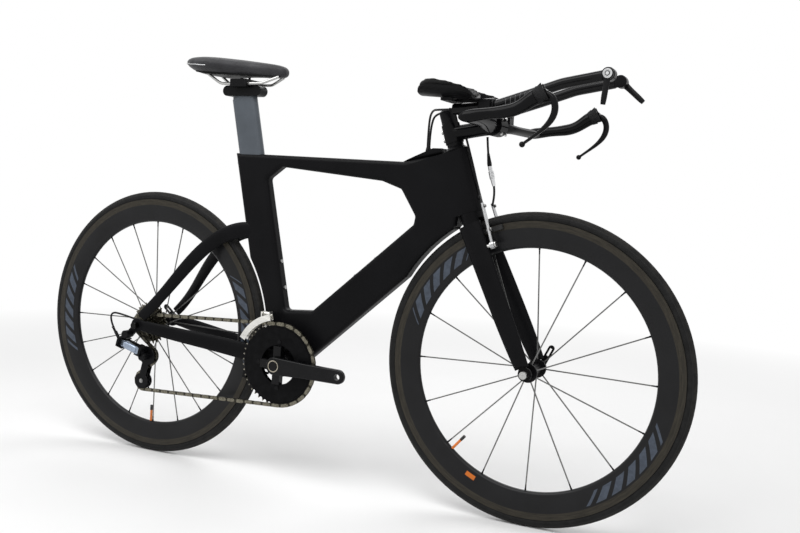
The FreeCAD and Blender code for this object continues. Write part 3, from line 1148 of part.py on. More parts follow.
def armrest_cup():
    """Curved shell with round corners, seen from above."""
    centre = UP * S.cup_round
    ends = AHEAD * (S.armrest_length / 2)
    outer = Part.makeCylinder(S.cup_round, S.armrest_length, centre - ends, AHEAD)
    inner = Part.makeCylinder(S.cup_round - S.cup_thickness, S.armrest_length * 2, centre - ends * 2, AHEAD)
    long_half, wide_half, r = S.armrest_length / 2, S.armrest_width / 2, S.cup_corner
    plan = Part.makeBox(S.armrest_length, S.armrest_width, S.cup_round, V(-long_half, -wide_half, -S.overrun))
    plan = plan.makeFillet(r, [e for e in plan.Edges if abs(e.tangentAt(e.FirstParameter).z) > 0.9])
    return outer.cut(inner).common(plan)


def armrest_pad():
    """Soft pad that follows the cup, with a rounded edge all round."""
    inside = S.cup_round - S.cup_thickness
    sections = []
    for along, wide, tall in PAD_SHARES:
        half = S.armrest_width / 2 * wide
        low = S.cup_thickness + S.pad_gap
        reach = half * PAD_TUCK_SHARE
        sag = inside - S.pad_gap - math.sqrt((inside - S.pad_gap) ** 2 - reach ** 2)
        high = low + S.pad_thickness * tall
        x = S.armrest_length * (along - 0.5)
        sections.append(soft_section(x, half, low, high, PAD_TUCK_SHARE, PAD_TUCK_SHARE, sag,
                                     -sag * PAD_RIM_SHARE))
    return Part.makeLoft(sections, True, False)


def armrests():
    cups, pads = [], []
    for side, word in ((-1, "right"), (1, "left")):
        cup = shaped(f"cup_{word}", armrest_cup())
        cup.Placement = armrest_spot(side)
        cups.append(cup)
        pad = shaped(f"pad_{word}", armrest_pad())
        pad.Placement = armrest_spot(side)
        pads.append(pad)
    node("armrest_pads", group("armrest_pad_pair", pads))
    return cups


def aerobar_clamps(cups):
    """Clamp that holds each extension on the base bar, with a bracket out to the cup."""
    parts = []
    path = extension_points()
    slope = (path[1] - path[0]).normalize()
    share = (S.bar_x - path[0].x) / slope.x
    middle = path[0] + slope * share
    ring = rod("ring_right", middle - slope * (S.clamp_ring_length / 2), slope, "clamp_ring_radius",
               "clamp_ring_length")
    riser = block("riser_right", V(S.bar_x, -S.extension_place, S.bar_z), AHEAD, UP, "riser_length",
                  "riser_width",
                  "extension_rear_z - bar_z")
    floor = armrest_spot().multVec(V(0, 0, -S.bracket_thickness))
    arm = block("bracket_right", V(floor.x, -num("(cup_place + extension_place)/2"), floor.z), AHEAD, UP,
                "bracket_width", "cup_place - extension_place + bracket_width", "bracket_thickness")
    spine = block("spine_right", V((floor.x + middle.x) / 2, -S.extension_place - S.clamp_ring_radius,
                                   floor.z), AHEAD, UP,
                  "bar_x - cup_x + bracket_width", "bracket_width/2", "bracket_thickness")
    post = block("post_right", V(middle.x, -S.extension_place - S.clamp_ring_radius,
                                 middle.z - S.bracket_thickness), AHEAD,
                 UP, "bracket_width", "bracket_width/2", floor.z - middle.z + 2 * S.bracket_thickness)
    right = joined("aerobar_clamp_right", [ring, riser, arm, spine, post])
    doc.recompute()
    cut = less("aerobar_clamp_cut", right, [NODES["extension_bars"], NODES["base_bar"], cups[0]])
    parts = [cut, mirrored("aerobar_clamp_left", cut)] + cups
    node("aerobar_clamps", group("aerobar_clamp_group", parts))


def shifters():
    """Shifter body on each extension end with a bolt, and a lever beside it."""
    bodies = []
    for side, word, angle in ((-1, "right", S.shift_right_angle), (1, "left", S.shift_left_angle)):
        path = extension_points(side)
        way = (path[-1] - path[-2]).normalize()
        hub_at = path[-1] + way * num("shifter_radius + seat_gap")
        drum = rod(f"shifter_drum_{word}", hub_at - SIDE * (S.shifter_width / 2), SIDE, "shifter_radius",
                   "shifter_width")
        neck = rod(f"shifter_neck_{word}", path[-1] + way * S.seat_gap, way,
                   f"extension_radius*{SHIFTER_NECK_SHARE}", "shifter_radius")
        outer = hub_at + SIDE * (side * S.shifter_width / 2)
        pin = rod(f"shifter_pin_{word}", outer - SIDE * (side * S.overrun), SIDE * side,
                  "shifter_bolt_radius",
                  "shift_lever_thickness + shifter_bolt_height + shifter_gap + overrun")
        bodies.append(joined(f"shifter_body_{word}", [drum, neck, pin]))
        down = math.radians(angle)
        along = V(math.cos(down), 0, -math.sin(down))
        start = outer + SIDE * (side * S.shifter_gap)
        disc = rod(f"shift_disc_{word}", start, SIDE * side, f"shifter_radius*{SHIFT_DISC_SHARE}",
                   "shift_lever_thickness")
        middle = start + SIDE * (side * S.shift_lever_thickness / 2)
        across = SIDE.cross(along)
        blade = loft(f"shift_blade_{word}", [
            (middle + along * (S.shift_lever_length * t), along, across, f"shift_lever_depth*{w}/2",
             f"shift_lever_thickness*{h}/2") for t, w, h in SHIFT_BLADE_SHARES])
        hole = rod(f"shift_hole_{word}", outer - SIDE * (side * S.overrun), SIDE * side,
                   "shifter_bolt_radius + pin_fit",
                   "shift_lever_thickness + 3*overrun")
        lever = joined(f"shift_lever_solid_{word}", [disc, blade])
        node(f"shift_lever_{word}", less(f"shift_lever_cut_{word}", lever, [hole]))
    node("shifter_bodies", group("shifter_group", bodies))


# Brakes

TILT = math.radians(S.brake_tilt_angle)
BRAKE_OUT = V(math.cos(TILT), 0, math.sin(TILT))
BRAKE_UP = V(-math.sin(TILT), 0, math.cos(TILT))


def brake_arm(name, pivot, up, out, length, top_inset):
    """Hub, arm and bore of a brake arm; up is along the arm and out along the pivot."""
    base = pivot - out * (S.brake_arm_thickness / 2)
    end = base + up * length + SIDE * top_inset
    way = (end - base).normalize()
    reach = (end - base).Length
    across = out.cross(way)
    hub = rod(name + "_hub", base, out, f"brake_arm_width*{BRAKE_HUB_SHARE}", "brake_arm_thickness")
    arm = loft(name + "_arm", [(base + out * (S.brake_arm_thickness / 2) + way * (reach * t), way, across,
                                f"brake_arm_width*{w}/2", f"brake_arm_thickness*{h}/2")
                               for t, w, h in BRAKE_ARM_SHARES])
    hole = rod(name + "_hole", base - out * S.overrun, out, "stud_radius + pin_fit",
               "brake_arm_thickness + 2*overrun")
    return hub, arm, hole


def front_brake():
    """Linear pull arms on studs in front of the fork."""
    pivot = V(S.brake_pivot_x, -S.brake_pivot_place, S.brake_pivot_z)
    spot = V(S.brake_pivot_x, 0, S.brake_pivot_z) + BRAKE_UP * S.brake_pad_reach
    radial = (spot - FRONT_AXLE).normalize()
    along = V(radial.z, 0, -radial.x)
    track = S.rim_radius - S.brake_track / 2
    middle = FRONT_AXLE + radial * track
    face = S.rim_width / 2 + S.brake_pad_gap
    pad_at = middle - SIDE * (face + S.brake_pad_depth / 2)
    hub, arm, hole = brake_arm("front_brake", pivot, BRAKE_UP, BRAKE_OUT, S.brake_arm_length,
                               S.brake_pivot_place - S.brake_top_place)
    pad = block("front_brake_shoe", pad_at - radial * (S.brake_pad_height / 2), along, radial,
                "brake_pad_length",
                "brake_pad_depth", "brake_pad_height")
    arm_spot = pivot + BRAKE_UP * S.brake_pad_reach
    post_way = (arm_spot - pad_at)
    post = rod("front_brake_post", pad_at, post_way, "stud_radius", post_way.Length)
    right = less("front_brake_cut", joined("front_brake_solid", [hub, arm, pad, post]), [hole])
    node("front_brake_arm_right", right)
    node("front_brake_arm_left", mirrored("front_brake_left", right))


def rear_brake():
    """Low arms under the chainstays, behind the bottom bracket."""
    pivot = V(-S.rear_brake_x, -S.rear_brake_place, S.rear_brake_z)
    back = AHEAD * -1
    track = S.rim_radius - S.brake_track / 2
    spot_z = S.rear_brake_z
    spot_x = REAR_AXLE.x + math.sqrt(track ** 2 - (REAR_AXLE.z - spot_z) ** 2)
    radial = (V(spot_x, 0, spot_z) - REAR_AXLE).normalize()
    along = V(radial.z, 0, -radial.x)
    pad_at = V(spot_x, -(S.rim_width / 2 + S.brake_pad_gap + S.brake_pad_depth / 2), spot_z)
    hub, arm, hole = brake_arm("rear_brake", pivot, back, UP, S.rear_arm_length, 0)
    pad = block("rear_brake_shoe", pad_at - radial * (S.brake_pad_height / 2), along, radial,
                "rear_pad_length",
                "brake_pad_depth", "brake_pad_height")
    front = loft("rear_brake_front", [(pivot + AHEAD * (S.rear_arm_front * t), AHEAD, SIDE,
                                       f"brake_arm_width*{w}/2",
                                       f"brake_arm_thickness*{w}/2") for t, w in REAR_ARM_SHARES])
    post = rod("rear_brake_post", pad_at, SIDE * -1, "stud_radius", S.rear_brake_place + pad_at.y)
    right = less("rear_brake_cut", joined("rear_brake_solid", [hub, arm, pad, front, post]), [hole])
    node("rear_brake_arm_right", right)
    node("rear_brake_arm_left", mirrored("rear_brake_left", right))


def steering_bolts():
    """Brake studs on the fork, face plate bolts and stem clamp bolts."""
    parts = []
    pivot = V(S.brake_pivot_x, 0, S.brake_pivot_z)
    ahead, out, high, head_share = FACE_BOLT_SHARES
    for side, word in ((-1, "right"), (1, "left")):
        outer = pivot + SIDE * (side * S.brake_pivot_place) + BRAKE_OUT * (S.brake_arm_thickness / 2
                                                                           + S.hub_gap)
        stud = rod(f"front_stud_{word}", outer, BRAKE_OUT * -1, "stud_radius",
                   "stud_length + brake_arm_thickness")
        head = rod(f"front_stud_head_{word}", outer, BRAKE_OUT, f"stud_radius*{STUD_HEAD_SHARE}",
                   "bolt_head_length")
        parts.append(less(f"front_stud_cut_{word}", joined(f"front_stud_all_{word}", [stud, head]),
                          [NODES["fork"]]))
        for rise in (1, -1):
            spot = BAR + V(S.bar_clamp_radius * ahead, side * S.bar_clamp_width * out,
                           rise * S.bar_clamp_radius * high)
            parts.append(rod(f"face_bolt_{word}_{'up' if rise > 0 else 'low'}", spot, AHEAD,
                             S.bolt_head_radius * head_share, "bolt_head_length"))
    for i, share in enumerate(STEM_BOLT_SHARES):
        spot = on_axis(S.stem_low + S.stem_clamp_height * share, -S.stem_clamp_radius)
        parts.append(rod(f"stem_bolt_{i}", spot, FORE * -1, "bolt_head_radius", "bolt_head_length"))
    node("steering_bolts", less("steering_bolt_cut", group("steering_bolt_group", parts), [NODES["stem"]]))


def rear_studs():
    """Pivots of the rear brake, let into the chainstays."""
    parts = []
    for side, word in ((-1, "right"), (1, "left")):
        low = V(-S.rear_brake_x, side * S.rear_brake_place,
                S.rear_brake_z - S.brake_arm_thickness / 2 - S.hub_gap)
        stud = rod(f"rear_stud_{word}", low, UP, "stud_radius", "stud_length + brake_arm_thickness")
        head = rod(f"rear_stud_head_{word}", low, UP * -1, f"stud_radius*{STUD_HEAD_SHARE}",
                   "bolt_head_length")
        parts.append(joined(f"rear_stud_all_{word}", [stud, head]))
    return less("rear_stud_cut", group("rear_stud_group", parts), [NODES["chainstays"], NODES["main_frame"]])


# Chain drive

def pitch_radius(teeth):
    return S.chain_pitch / (2 * math.sin(math.pi / teeth))


def toothed(teeth, phase, thickness, bore):
    """Toothed disc about Y in its own middle plane, with a roller seat at the phase angle."""
    pitch, seat = pitch_radius(teeth), S.roller_radius + S.roller_gap
    spread = math.radians(72)
    tip = pitch + S.tooth_height
    half_tip = S.tooth_tip / 2 / tip

    def polar(radius, angle):
        return V(radius * math.cos(angle), 0, radius * math.sin(angle))

    edges, last, opening = [], None, None
    for k in range(teeth):
        angle = phase + 2 * math.pi * k / teeth
        centre = polar(pitch, angle)
        start = centre + polar(seat, angle + math.pi + spread)
        end = centre + polar(seat, angle + math.pi - spread)
        if last is not None:
            edges.append(Part.LineSegment(last, start).toShape())
        else:
            opening = start
        edges.append(Part.Arc(start, centre + polar(seat, angle + math.pi), end).toShape())
        a = polar(tip, angle + math.pi / teeth - half_tip)
        b = polar(tip, angle + math.pi / teeth + half_tip)
        edges.append(Part.LineSegment(end, a).toShape())
        edges.append(Part.LineSegment(a, b).toShape())
        last = b
    edges.append(Part.LineSegment(last, opening).toShape())
    face = Part.Face([Part.Wire(edges), Part.Wire([Part.makeCircle(bore, V(0, 0, 0), SIDE)])])
    face.validate()
    return face.extrude(SIDE * thickness).translated(SIDE * (-thickness / 2))


def tangent(a, b):
    """Straight run between two circles (centre, radius, way): way 1 is left-handed seen with X right and Z up."""
    run = b[0] - a[0]
    s1, s2 = -a[2], -b[2]
    theta = math.atan2(run.z, run.x) - math.asin((a[1] * s1 - b[1] * s2) / run.Length)
    normal = V(-math.sin(theta), 0, math.cos(theta))
    return a[0] + normal * (a[1] * s1), b[0] + normal * (b[1] * s2)


def drive_circles(cage_angle):
    guide = REAR_AXLE + V(S.guide_x, 0, -S.guide_z)
    swing = math.radians(cage_angle)
    tension = guide + V(-math.sin(swing), 0, -math.cos(swing)) * S.cage_length
    pulley = pitch_radius(int(S.pulley_teeth_count))
    return [(REAR_AXLE, pitch_radius(int(S.cog_teeth_count)), -1, int(S.cog_teeth_count)),
            (BB, pitch_radius(int(S.ring_teeth_count)), -1, int(S.ring_teeth_count)),
            (tension, pulley, -1, int(S.pulley_teeth_count)), (guide, pulley, 1, int(S.pulley_teeth_count))]


def drive_path(cage_angle):
    """Runs and arcs of the chain as (length in pitches, function from pitches to a point), in order."""
    circles = drive_circles(cage_angle)
    runs = [tangent(circles[i], circles[(i + 1) % 4]) for i in range(4)]
    pieces = []
    for i in range(4):
        a, b = runs[i]
        length = (b - a).Length / S.chain_pitch
        pieces.append((length, lambda t, a=a, b=b, n=length: a + (b - a) * (t / n), None))
        centre, radius, way, teeth = circles[(i + 1) % 4]
        leave = runs[(i + 1) % 4][0]
        begin = math.atan2(b.z - centre.z, b.x - centre.x)
        finish = math.atan2(leave.z - centre.z, leave.x - centre.x)
        sweep = ((finish - begin) * way) % (2 * math.pi)
        step = 2 * math.pi / teeth

        def on_arc(t, c=centre, r=radius, a0=begin, w=way, s=step):
            return c + V(math.cos(a0 + w * t * s), 0, math.sin(a0 + w * t * s)) * r
        pieces.append((sweep / step, on_arc, (i + 1) % 4))
    return pieces


def solve_cage():
    """Cage angle near the stated one at which the chain holds a whole even number of pitches."""
    def total(angle):
        return sum(p[0] for p in drive_path(angle))
    goal = 2 * round(total(S.cage_angle) / 2)
    low, high = S.cage_angle - 30, S.cage_angle + 30
    rising = total(high) > total(low)
    for _ in range(60):
        middle = (low + high) / 2
        if (total(middle) < goal) == rising:
            low = middle
        else:
            high = middle
    return (low + high) / 2, goal


CAGE_NOW, LINK_COUNT = solve_cage()
CIRCLES = drive_circles(CAGE_NOW)


def roller_points():
    """Roller centres along the chain and, per toothed wheel, the angle of one of its rollers."""
    pieces = drive_path(CAGE_NOW)
    points, phases = [], {}
    for k in range(LINK_COUNT):
        t = float(k)
        for length, at, wheel in pieces:
            if t <= length:
                point = at(t)
                if wheel is not None and wheel not in phases:
                    centre = CIRCLES[wheel][0]
                    phases[wheel] = math.atan2(point.z - centre.z, point.x - centre.x)
                points.append(point)
                break
            t -= length
    return points, phases


ROLLERS, PHASES = roller_points()


def link_plate(low, thickness):
    """Side plate along X from the origin, its near face at the given place along Y."""
    r, p = S.chain_plate_half, S.chain_pitch
    wire = Part.Wire([Part.LineSegment(V(0, 0, -r), V(p, 0, -r)).toShape(),
                      Part.Arc(V(p, 0, -r), V(p + r, 0, 0), V(p, 0, r)).toShape(),
                      Part.LineSegment(V(p, 0, r), V(0, 0, r)).toShape(),
                      Part.Arc(V(0, 0, r), V(-r, 0, 0), V(0, 0, -r)).toShape()])
    return Part.Face(wire).extrude(SIDE * thickness).translated(SIDE * low)


def chain():
    """Inner and outer links in turn, each one solid."""
    ends = (V(0, 0, 0), V(S.chain_pitch, 0, 0))
    inner = link_plate(S.inner_half, S.chain_plate)
    inner = inner.fuse([link_plate(-S.inner_half - S.chain_plate, S.chain_plate)] +
                       [Part.makeCylinder(S.roller_radius, 2 * S.inner_half, e - SIDE * S.inner_half, SIDE)
                        for e in ends])
    bore = S.chain_pin_radius + S.chain_pin_gap
    reach = S.inner_half + S.chain_plate + S.overrun
    inner = inner.cut([Part.makeCylinder(bore, 2 * reach, e - SIDE * reach, SIDE) for e in ends])
    half = S.outer_half + S.chain_plate
    outer = link_plate(S.outer_half, S.chain_plate)
    outer = outer.fuse([link_plate(-half, S.chain_plate)] +
                       [Part.makeCylinder(S.chain_pin_radius, 2 * half, e - SIDE * half, SIDE) for e in ends])
    links = []
    for k in range(LINK_COUNT):
        a, b = ROLLERS[k], ROLLERS[(k + 1) % LINK_COUNT]
        spot = FreeCAD.Placement(a - SIDE * S.chain_line, FreeCAD.Rotation(AHEAD, b - a))
        link = (inner if k % 2 else outer).copy()
        link.Placement = spot
        links.append(link)
    node("chain", shaped("chain_links", Part.Compound(links)))


def cassette():
    """Cogs on the freehub body, closed by a lockring."""
    parts = []
    active = COG_TEETH.index(int(S.cog_teeth_count))
    for i, teeth in enumerate(COG_TEETH):
        at = REAR_AXLE - SIDE * (S.chain_line + (active - i) * S.cog_spacing)
        disc = toothed(teeth, PHASES[0], S.tooth_thickness, S.freehub_radius)
        disc.translate(at)
        parts.append(shaped(f"cog_{teeth}", disc))
    outer = f"(chain_line + cog_spacing*{active} + tooth_thickness/2)"
    inner = "(rear_flange_right + flange_thickness/2 + 2*turn_gap)"
    corners = [("axle_radius + run_fit", "-" + inner), ("freehub_radius", "-" + inner),
               ("freehub_radius", "-" + outer),
               ("lockring_radius", "-" + outer), ("lockring_radius", f"-{outer} - lockring_length"),
               ("axle_radius + run_fit", f"-{outer} - lockring_length")]
    parts.append(turned("freehub", corners, place(REAR_AXLE)))
    node("cassette", group("cassette_group", parts))


def crank_turn():
    return FreeCAD.Rotation(SIDE, S.crank_angle)


def crank_arm(name, side, ahead):
    """Tapered arm with a hub boss and a threaded pedal eye."""
    hub, waist, end = "crank_hub_radius", "crank_waist", "crank_end_radius"
    sign = "" if ahead else "-"
    turn = 1 if ahead else -1
    eye = f"{sign}crank_length"
    tip = f"{sign}(crank_length + crank_end_radius)"
    back = f"{'-' if ahead else ''}crank_hub_radius"
    corners = [(f"{sign}crank_length/2", "-" + waist), (eye, "-" + end, end, turn), (tip, "0", end, turn),
               (eye, end), (f"{sign}crank_length/2", waist), ("0", hub, hub, turn), (back, "0", hub, turn),
               ("0", "-" + hub)]
    middle = num("crank_inner + crank_thickness/2") * side
    spot = FreeCAD.Placement(BB + SIDE * middle, crank_turn())
    return plate(name, corners, "crank_thickness", spot, holes=[(eye, "0", "pedal_bore")],
                 rounding="crank_round")


def cranks():
    """Right arm, spider and spindle as solids of their own, and the left arm pressed on the spindle."""
    face = num("crank_inner + crank_thickness")
    socket = BB - SIDE * num("crank_inner + crank_thickness/2")
    sleeve = rod("right_bore", socket, SIDE, "spindle_radius + seat_gap/2", "crank_inner")
    cap = rod("crank_cap", BB - SIDE * face, SIDE * -1, "crank_cap_radius", "crank_cap_height")
    arm = less("crank_right_cut", joined("crank_right_solid",
                                         [crank_arm("crank_plate_right", -1, True), cap]), [sleeve])
    spindle = rod("spindle", socket + SIDE * S.seat_gap, SIDE, "spindle_radius",
                  "2*crank_inner + crank_thickness/2 - 2*seat_gap")
    parts = [rod("spider_hub", BB - SIDE * num("crank_inner - seat_gap"), SIDE, "crank_hub_radius",
                 "crank_inner - seat_gap - hub_inner")]
    low = num("chain_line - ring_thickness/2 - spider_gap")
    root_at = BB - SIDE * num("(crank_inner + chain_line - ring_thickness)/2")
    for i in range(4):
        way = crank_turn().multVec(V(math.cos(math.pi / 2 * i), 0, math.sin(math.pi / 2 * i)))
        thin = block(f"spider_tab_{i}", BB - SIDE * (low - S.spider_thickness / 2), SIDE, way,
                     "spider_thickness",
                     "spider_width", "bolt_circle + ring_bolt_radius")
        thick = block(f"spider_root_{i}", root_at, SIDE, way,
                      "crank_inner - chain_line + ring_thickness - 2*seat_gap",
                      "spider_width", "ring_bore - spider_gap*8")
        eye = rod(f"spider_eye_{i}", BB + way * S.bolt_circle - SIDE * low, SIDE, "spider_width/2",
                  "spider_thickness")
        parts += [thin, thick, eye]
    holes = [rod(f"spider_hole_{i}", spot + SIDE * S.chain_line, SIDE * -1, "ring_bolt_radius + seat_gap/2",
                 "2*chain_line") for i, spot in enumerate(ring_bolt_spots())]
    spider = less("spider_cut", joined("spider_solid", parts), holes + [sleeve])
    node("crank_arm_right", group("crank_right_group", [arm, spider, spindle]))
    left = crank_arm("crank_plate_left", 1, False)
    boss = rod("left_boss", BB + SIDE * S.hub_inner, SIDE, "crank_hub_radius - crank_round/2",
               "crank_inner + crank_thickness/4 - hub_inner")
    left_sleeve = rod("left_bore", BB, SIDE, "spindle_radius + seat_gap/2", "crank_inner")
    node("crank_arm_left", less("crank_left_cut", joined("crank_left_solid", [left, boss]), [left_sleeve]))


def ring_bolt_spots():
    return [BB + crank_turn().multVec(V(math.cos(math.pi / 2 * i), 0,
                                        math.sin(math.pi / 2 * i)) * S.bolt_circle)
            for i in range(4)]


def chainrings():
    """Two toothed rings with bolt holes, and the four bolts that hold them on the spider."""
    parts = []
    outer_at, inner_at = S.chain_line, S.chain_line - S.ring_gap
    inner_phase = PHASES[1]
    for word, teeth, at, phase in (("outer", int(S.ring_teeth_count), outer_at, PHASES[1]),
                                   ("inner", int(S.small_ring_teeth_count), inner_at, inner_phase)):
        disc = toothed(teeth, phase, S.tooth_thickness, S.ring_bore)
        disc.translate(BB - SIDE * at)
        teeth_ring = shaped(f"ring_teeth_{word}", disc)
        web = rod(f"ring_web_{word}", BB - SIDE * (at + S.ring_thickness / 2), SIDE,
                  f"chain_pitch/(2*sin(180deg/{'ring' if word == 'outer' else 'small_ring'}_teeth_count)) - ring_rim",
                  "ring_thickness")
        bore = rod(f"ring_bore_{word}", BB - SIDE * (at + S.overrun), SIDE, "ring_bore", "2*overrun")
        holes = [rod(f"ring_hole_{word}_{i}", spot - SIDE * (at + S.overrun), SIDE,
                     "ring_bolt_radius + seat_gap/2",
                     "2*overrun") for i, spot in enumerate(ring_bolt_spots())]
        parts.append(less(f"ring_cut_{word}", joined(f"ring_solid_{word}", [teeth_ring, web]),
                          [bore] + holes))
    node("chainrings", group("chainring_group", parts))
    start, length = "(chain_line + ring_thickness/2 + ring_bolt_head)", "ring_gap + ring_thickness + 2*ring_bolt_head"
    bolts = [rod(f"ring_bolt_{i}", spot - SIDE * num(start), SIDE, "ring_bolt_radius", length)
             for i, spot in enumerate(ring_bolt_spots())]
    node("chainring_bolts", group("chainring_bolt_group", bolts))


# Rear derailleur

DROP = math.radians(S.link_drop_angle)
LINK_WAY = V(math.cos(DROP), 0, -math.sin(DROP))
LINK_PIN = V(math.sin(DROP), 0, math.cos(DROP))
LINK_BASE = REAR_AXLE + V(-S.link_base_x, 0, -S.link_base_z)
LINK_END = LINK_BASE + LINK_WAY * S.link_length
BARREL = math.radians(S.barrel_angle)
BARREL_WAY = V(math.cos(BARREL), 0, math.sin(BARREL))
GUIDE = CIRCLES[3][0]
TENSION = CIRCLES[2][0]


def link_frame(name, at, behind, wall):
    """Two link pins with the ears that carry them; behind is the side of the web, wall what stands past the pins."""
    parts = []
    reach = num("link_half + ear_gap")
    width = f"outer_link_place - inner_link_place + 2*link_pin_radius + 2*{wall}"
    middle = num("(outer_link_place + inner_link_place)/2")
    for side in (1, -1):
        foot = at - SIDE * middle + LINK_PIN * (side * reach)
        parts.append(block(f"{name}_ear_{'up' if side > 0 else 'low'}", foot, LINK_WAY, LINK_PIN * side,
                           "2*ear_half",
                           width, "ear_thickness"))
    for word, spot in (("outer", S.outer_link_place), ("inner", S.inner_link_place)):
        foot = at - SIDE * spot - LINK_PIN * (reach + S.ear_thickness / 2)
        parts.append(rod(f"{name}_pin_{word}", foot, LINK_PIN, "link_pin_radius",
                         "2*link_half + 2*ear_gap + ear_thickness"))
    web_at = at + behind * num("ear_half + link_pin_radius") - SIDE * middle - LINK_PIN * (reach
                                                                                           + S.ear_thickness)
    parts.append(block(f"{name}_web", web_at, LINK_WAY, LINK_PIN, "2*link_pin_radius + ear_thickness", width,
                       "2*link_half + 2*ear_gap + 2*ear_thickness"))
    return parts


def derailleur_base():
    """Hanger on the dropout, and the base knuckle with link pins, limit stop and cable barrel."""
    bolt = REAR_AXLE + V(-S.hanger_x, 0, -S.hanger_z)
    way = (bolt - REAR_AXLE).normalize()
    right = REAR_AXLE - SIDE * num("rear_spacing/2 + dropout_thickness")
    strap = block("hanger_strap", right + SIDE * (S.dropout_thickness / 2), SIDE, way, "dropout_thickness",
                  "2*hanger_half", "sqrt(hanger_x^2 + hanger_z^2)")
    eye = rod("hanger_eye", right + (bolt - REAR_AXLE), SIDE, "hanger_half", "dropout_thickness")
    room = rod("hanger_room", right - SIDE * S.overrun, SIDE, "dropout_radius + seat_gap",
               "dropout_thickness + 2*overrun")
    hanger = less("hanger_cut", joined("hanger_solid", [strap, eye]), [room, NODES["chainstays"]])
    knuckle = rod("base_knuckle", right + (bolt - REAR_AXLE) - SIDE * S.seat_gap, SIDE * -1, "knuckle_radius",
                  "knuckle_length*2")
    parts = link_frame("base", LINK_BASE, LINK_WAY * -1, "ear_half")
    bridge_way = LINK_BASE - LINK_WAY * num("ear_half + link_pin_radius*5/2") + LINK_PIN * S.ear_half - bolt
    bridge_at = bolt - SIDE * num("rear_spacing/2 + dropout_thickness + seat_gap + knuckle_length")
    bridge = block("base_bridge", bridge_at, SIDE, bridge_way, "2*knuckle_length", "knuckle_radius*3/5",
                   bridge_way.Length)
    web = LINK_BASE - LINK_WAY * num("ear_half + link_pin_radius")
    stop = block("base_stop", web - SIDE * num("(outer_link_place + inner_link_place)/2"), LINK_WAY,
                 SIDE * -1,
                 "2*link_pin_radius", "2*link_half",
                 "(outer_link_place - inner_link_place)/2 + link_pin_radius + ear_half + stop_height")
    barrel = rod("base_barrel", web - SIDE * S.outer_link_place + BARREL_WAY * S.barrel_radius, BARREL_WAY,
                 "barrel_radius", "barrel_length - barrel_radius")
    solid = joined("base_solid", [knuckle, bridge, stop, barrel] + parts)
    node("rear_derailleur_base", group("derailleur_base_group", [hanger, solid]))


def derailleur_links():
    """Outer and inner link between base and knuckle, each bored for its pins."""
    for word, spot in (("outer", S.outer_link_place), ("inner", S.inner_link_place)):
        half = "link_half"
        eye = "(link_pin_radius*2)"
        corners = [("0", "-" + half), ("link_length", "-" + half),
                   (f"link_length + {eye}", "-link_half + link_pin_radius"),
                   (f"link_length + {eye}", "link_half - link_pin_radius"), ("link_length", half),
                   ("0", half),
                   (f"-{eye}", "link_half - link_pin_radius"), (f"-{eye}", "-link_half + link_pin_radius")]
        spot_at = FreeCAD.Placement(LINK_BASE - SIDE * spot,
                                    FreeCAD.Rotation(LINK_WAY, SIDE, LINK_PIN, "XYZ"))
        bar = plate(f"link_{word}_plate", corners, "link_thickness + link_pin_radius", spot_at)
        holes = [rod(f"link_{word}_hole_{i}", at - SIDE * spot - LINK_PIN * (S.link_half + S.overrun),
                     LINK_PIN,
                     "link_pin_radius + pin_fit", "2*link_half + 2*overrun")
                 for i, at in enumerate((LINK_BASE, LINK_END))]
        label = "rear_derailleur_link" if word == "outer" else "rear_derailleur_inner_link"
        node(label, less(f"link_{word}_cut", bar, holes))


def cage_outer_place():
    return num("chain_line + cage_half + cage_plate")


def derailleur_knuckle():
    """Lower knuckle: link pins on one side, cage pivot on the other."""
    parts = link_frame("knuckle", LINK_END, LINK_WAY, "ear_wall")
    near = cage_outer_place() + S.cage_knuckle_gap
    far = num("(outer_link_place + inner_link_place)/2 + ear_half")
    drum = rod("knuckle_drum", GUIDE - SIDE * far, SIDE, "cage_knuckle_radius", far - near)
    middle = num("(outer_link_place + inner_link_place)/2")
    start = LINK_END + LINK_WAY * num("ear_half + link_pin_radius") - SIDE * middle
    way = GUIDE - SIDE * middle - start
    bridge = block("knuckle_bridge", start, SIDE, way, "2*ear_half", "2*link_pin_radius + ear_thickness",
                   way.Length)
    pin = rod("knuckle_pin", GUIDE - SIDE * near, SIDE, "link_pin_radius*2", "cage_knuckle_gap + cage_plate")
    node("rear_derailleur_knuckle", joined("knuckle_solid", parts + [drum, bridge, pin]))


def derailleur_cage():
    """Two plates with the pulley bolts."""
    way = (TENSION - GUIDE).normalize()
    parts = []
    for word, at in (("outer", -cage_outer_place()), ("inner", -num("chain_line - cage_half"))):
        base = V(0, at, 0)
        parts.append(block(f"cage_strap_{word}", GUIDE + base + SIDE * (S.cage_plate / 2), SIDE, way,
                           "cage_plate",
                           "cage_strap", "cage_length"))
        parts.append(rod(f"cage_top_{word}", GUIDE + base, SIDE, "cage_head_radius", "cage_plate"))
        parts.append(rod(f"cage_foot_{word}", TENSION + base, SIDE, "cage_foot_radius", "cage_plate"))
    for word, at in (("guide", GUIDE), ("tension", TENSION)):
        parts.append(rod(f"cage_bolt_{word}", at - SIDE * cage_outer_place(), SIDE, "pulley_bolt_radius",
                         "2*cage_half + 2*cage_plate"))
    hole = rod("cage_hole", GUIDE - SIDE * (cage_outer_place() + S.overrun), SIDE,
               "link_pin_radius*2 + pin_fit",
               "cage_plate + overrun")
    node("rear_derailleur_cage", less("cage_cut", joined("cage_solid", parts), [hole]))


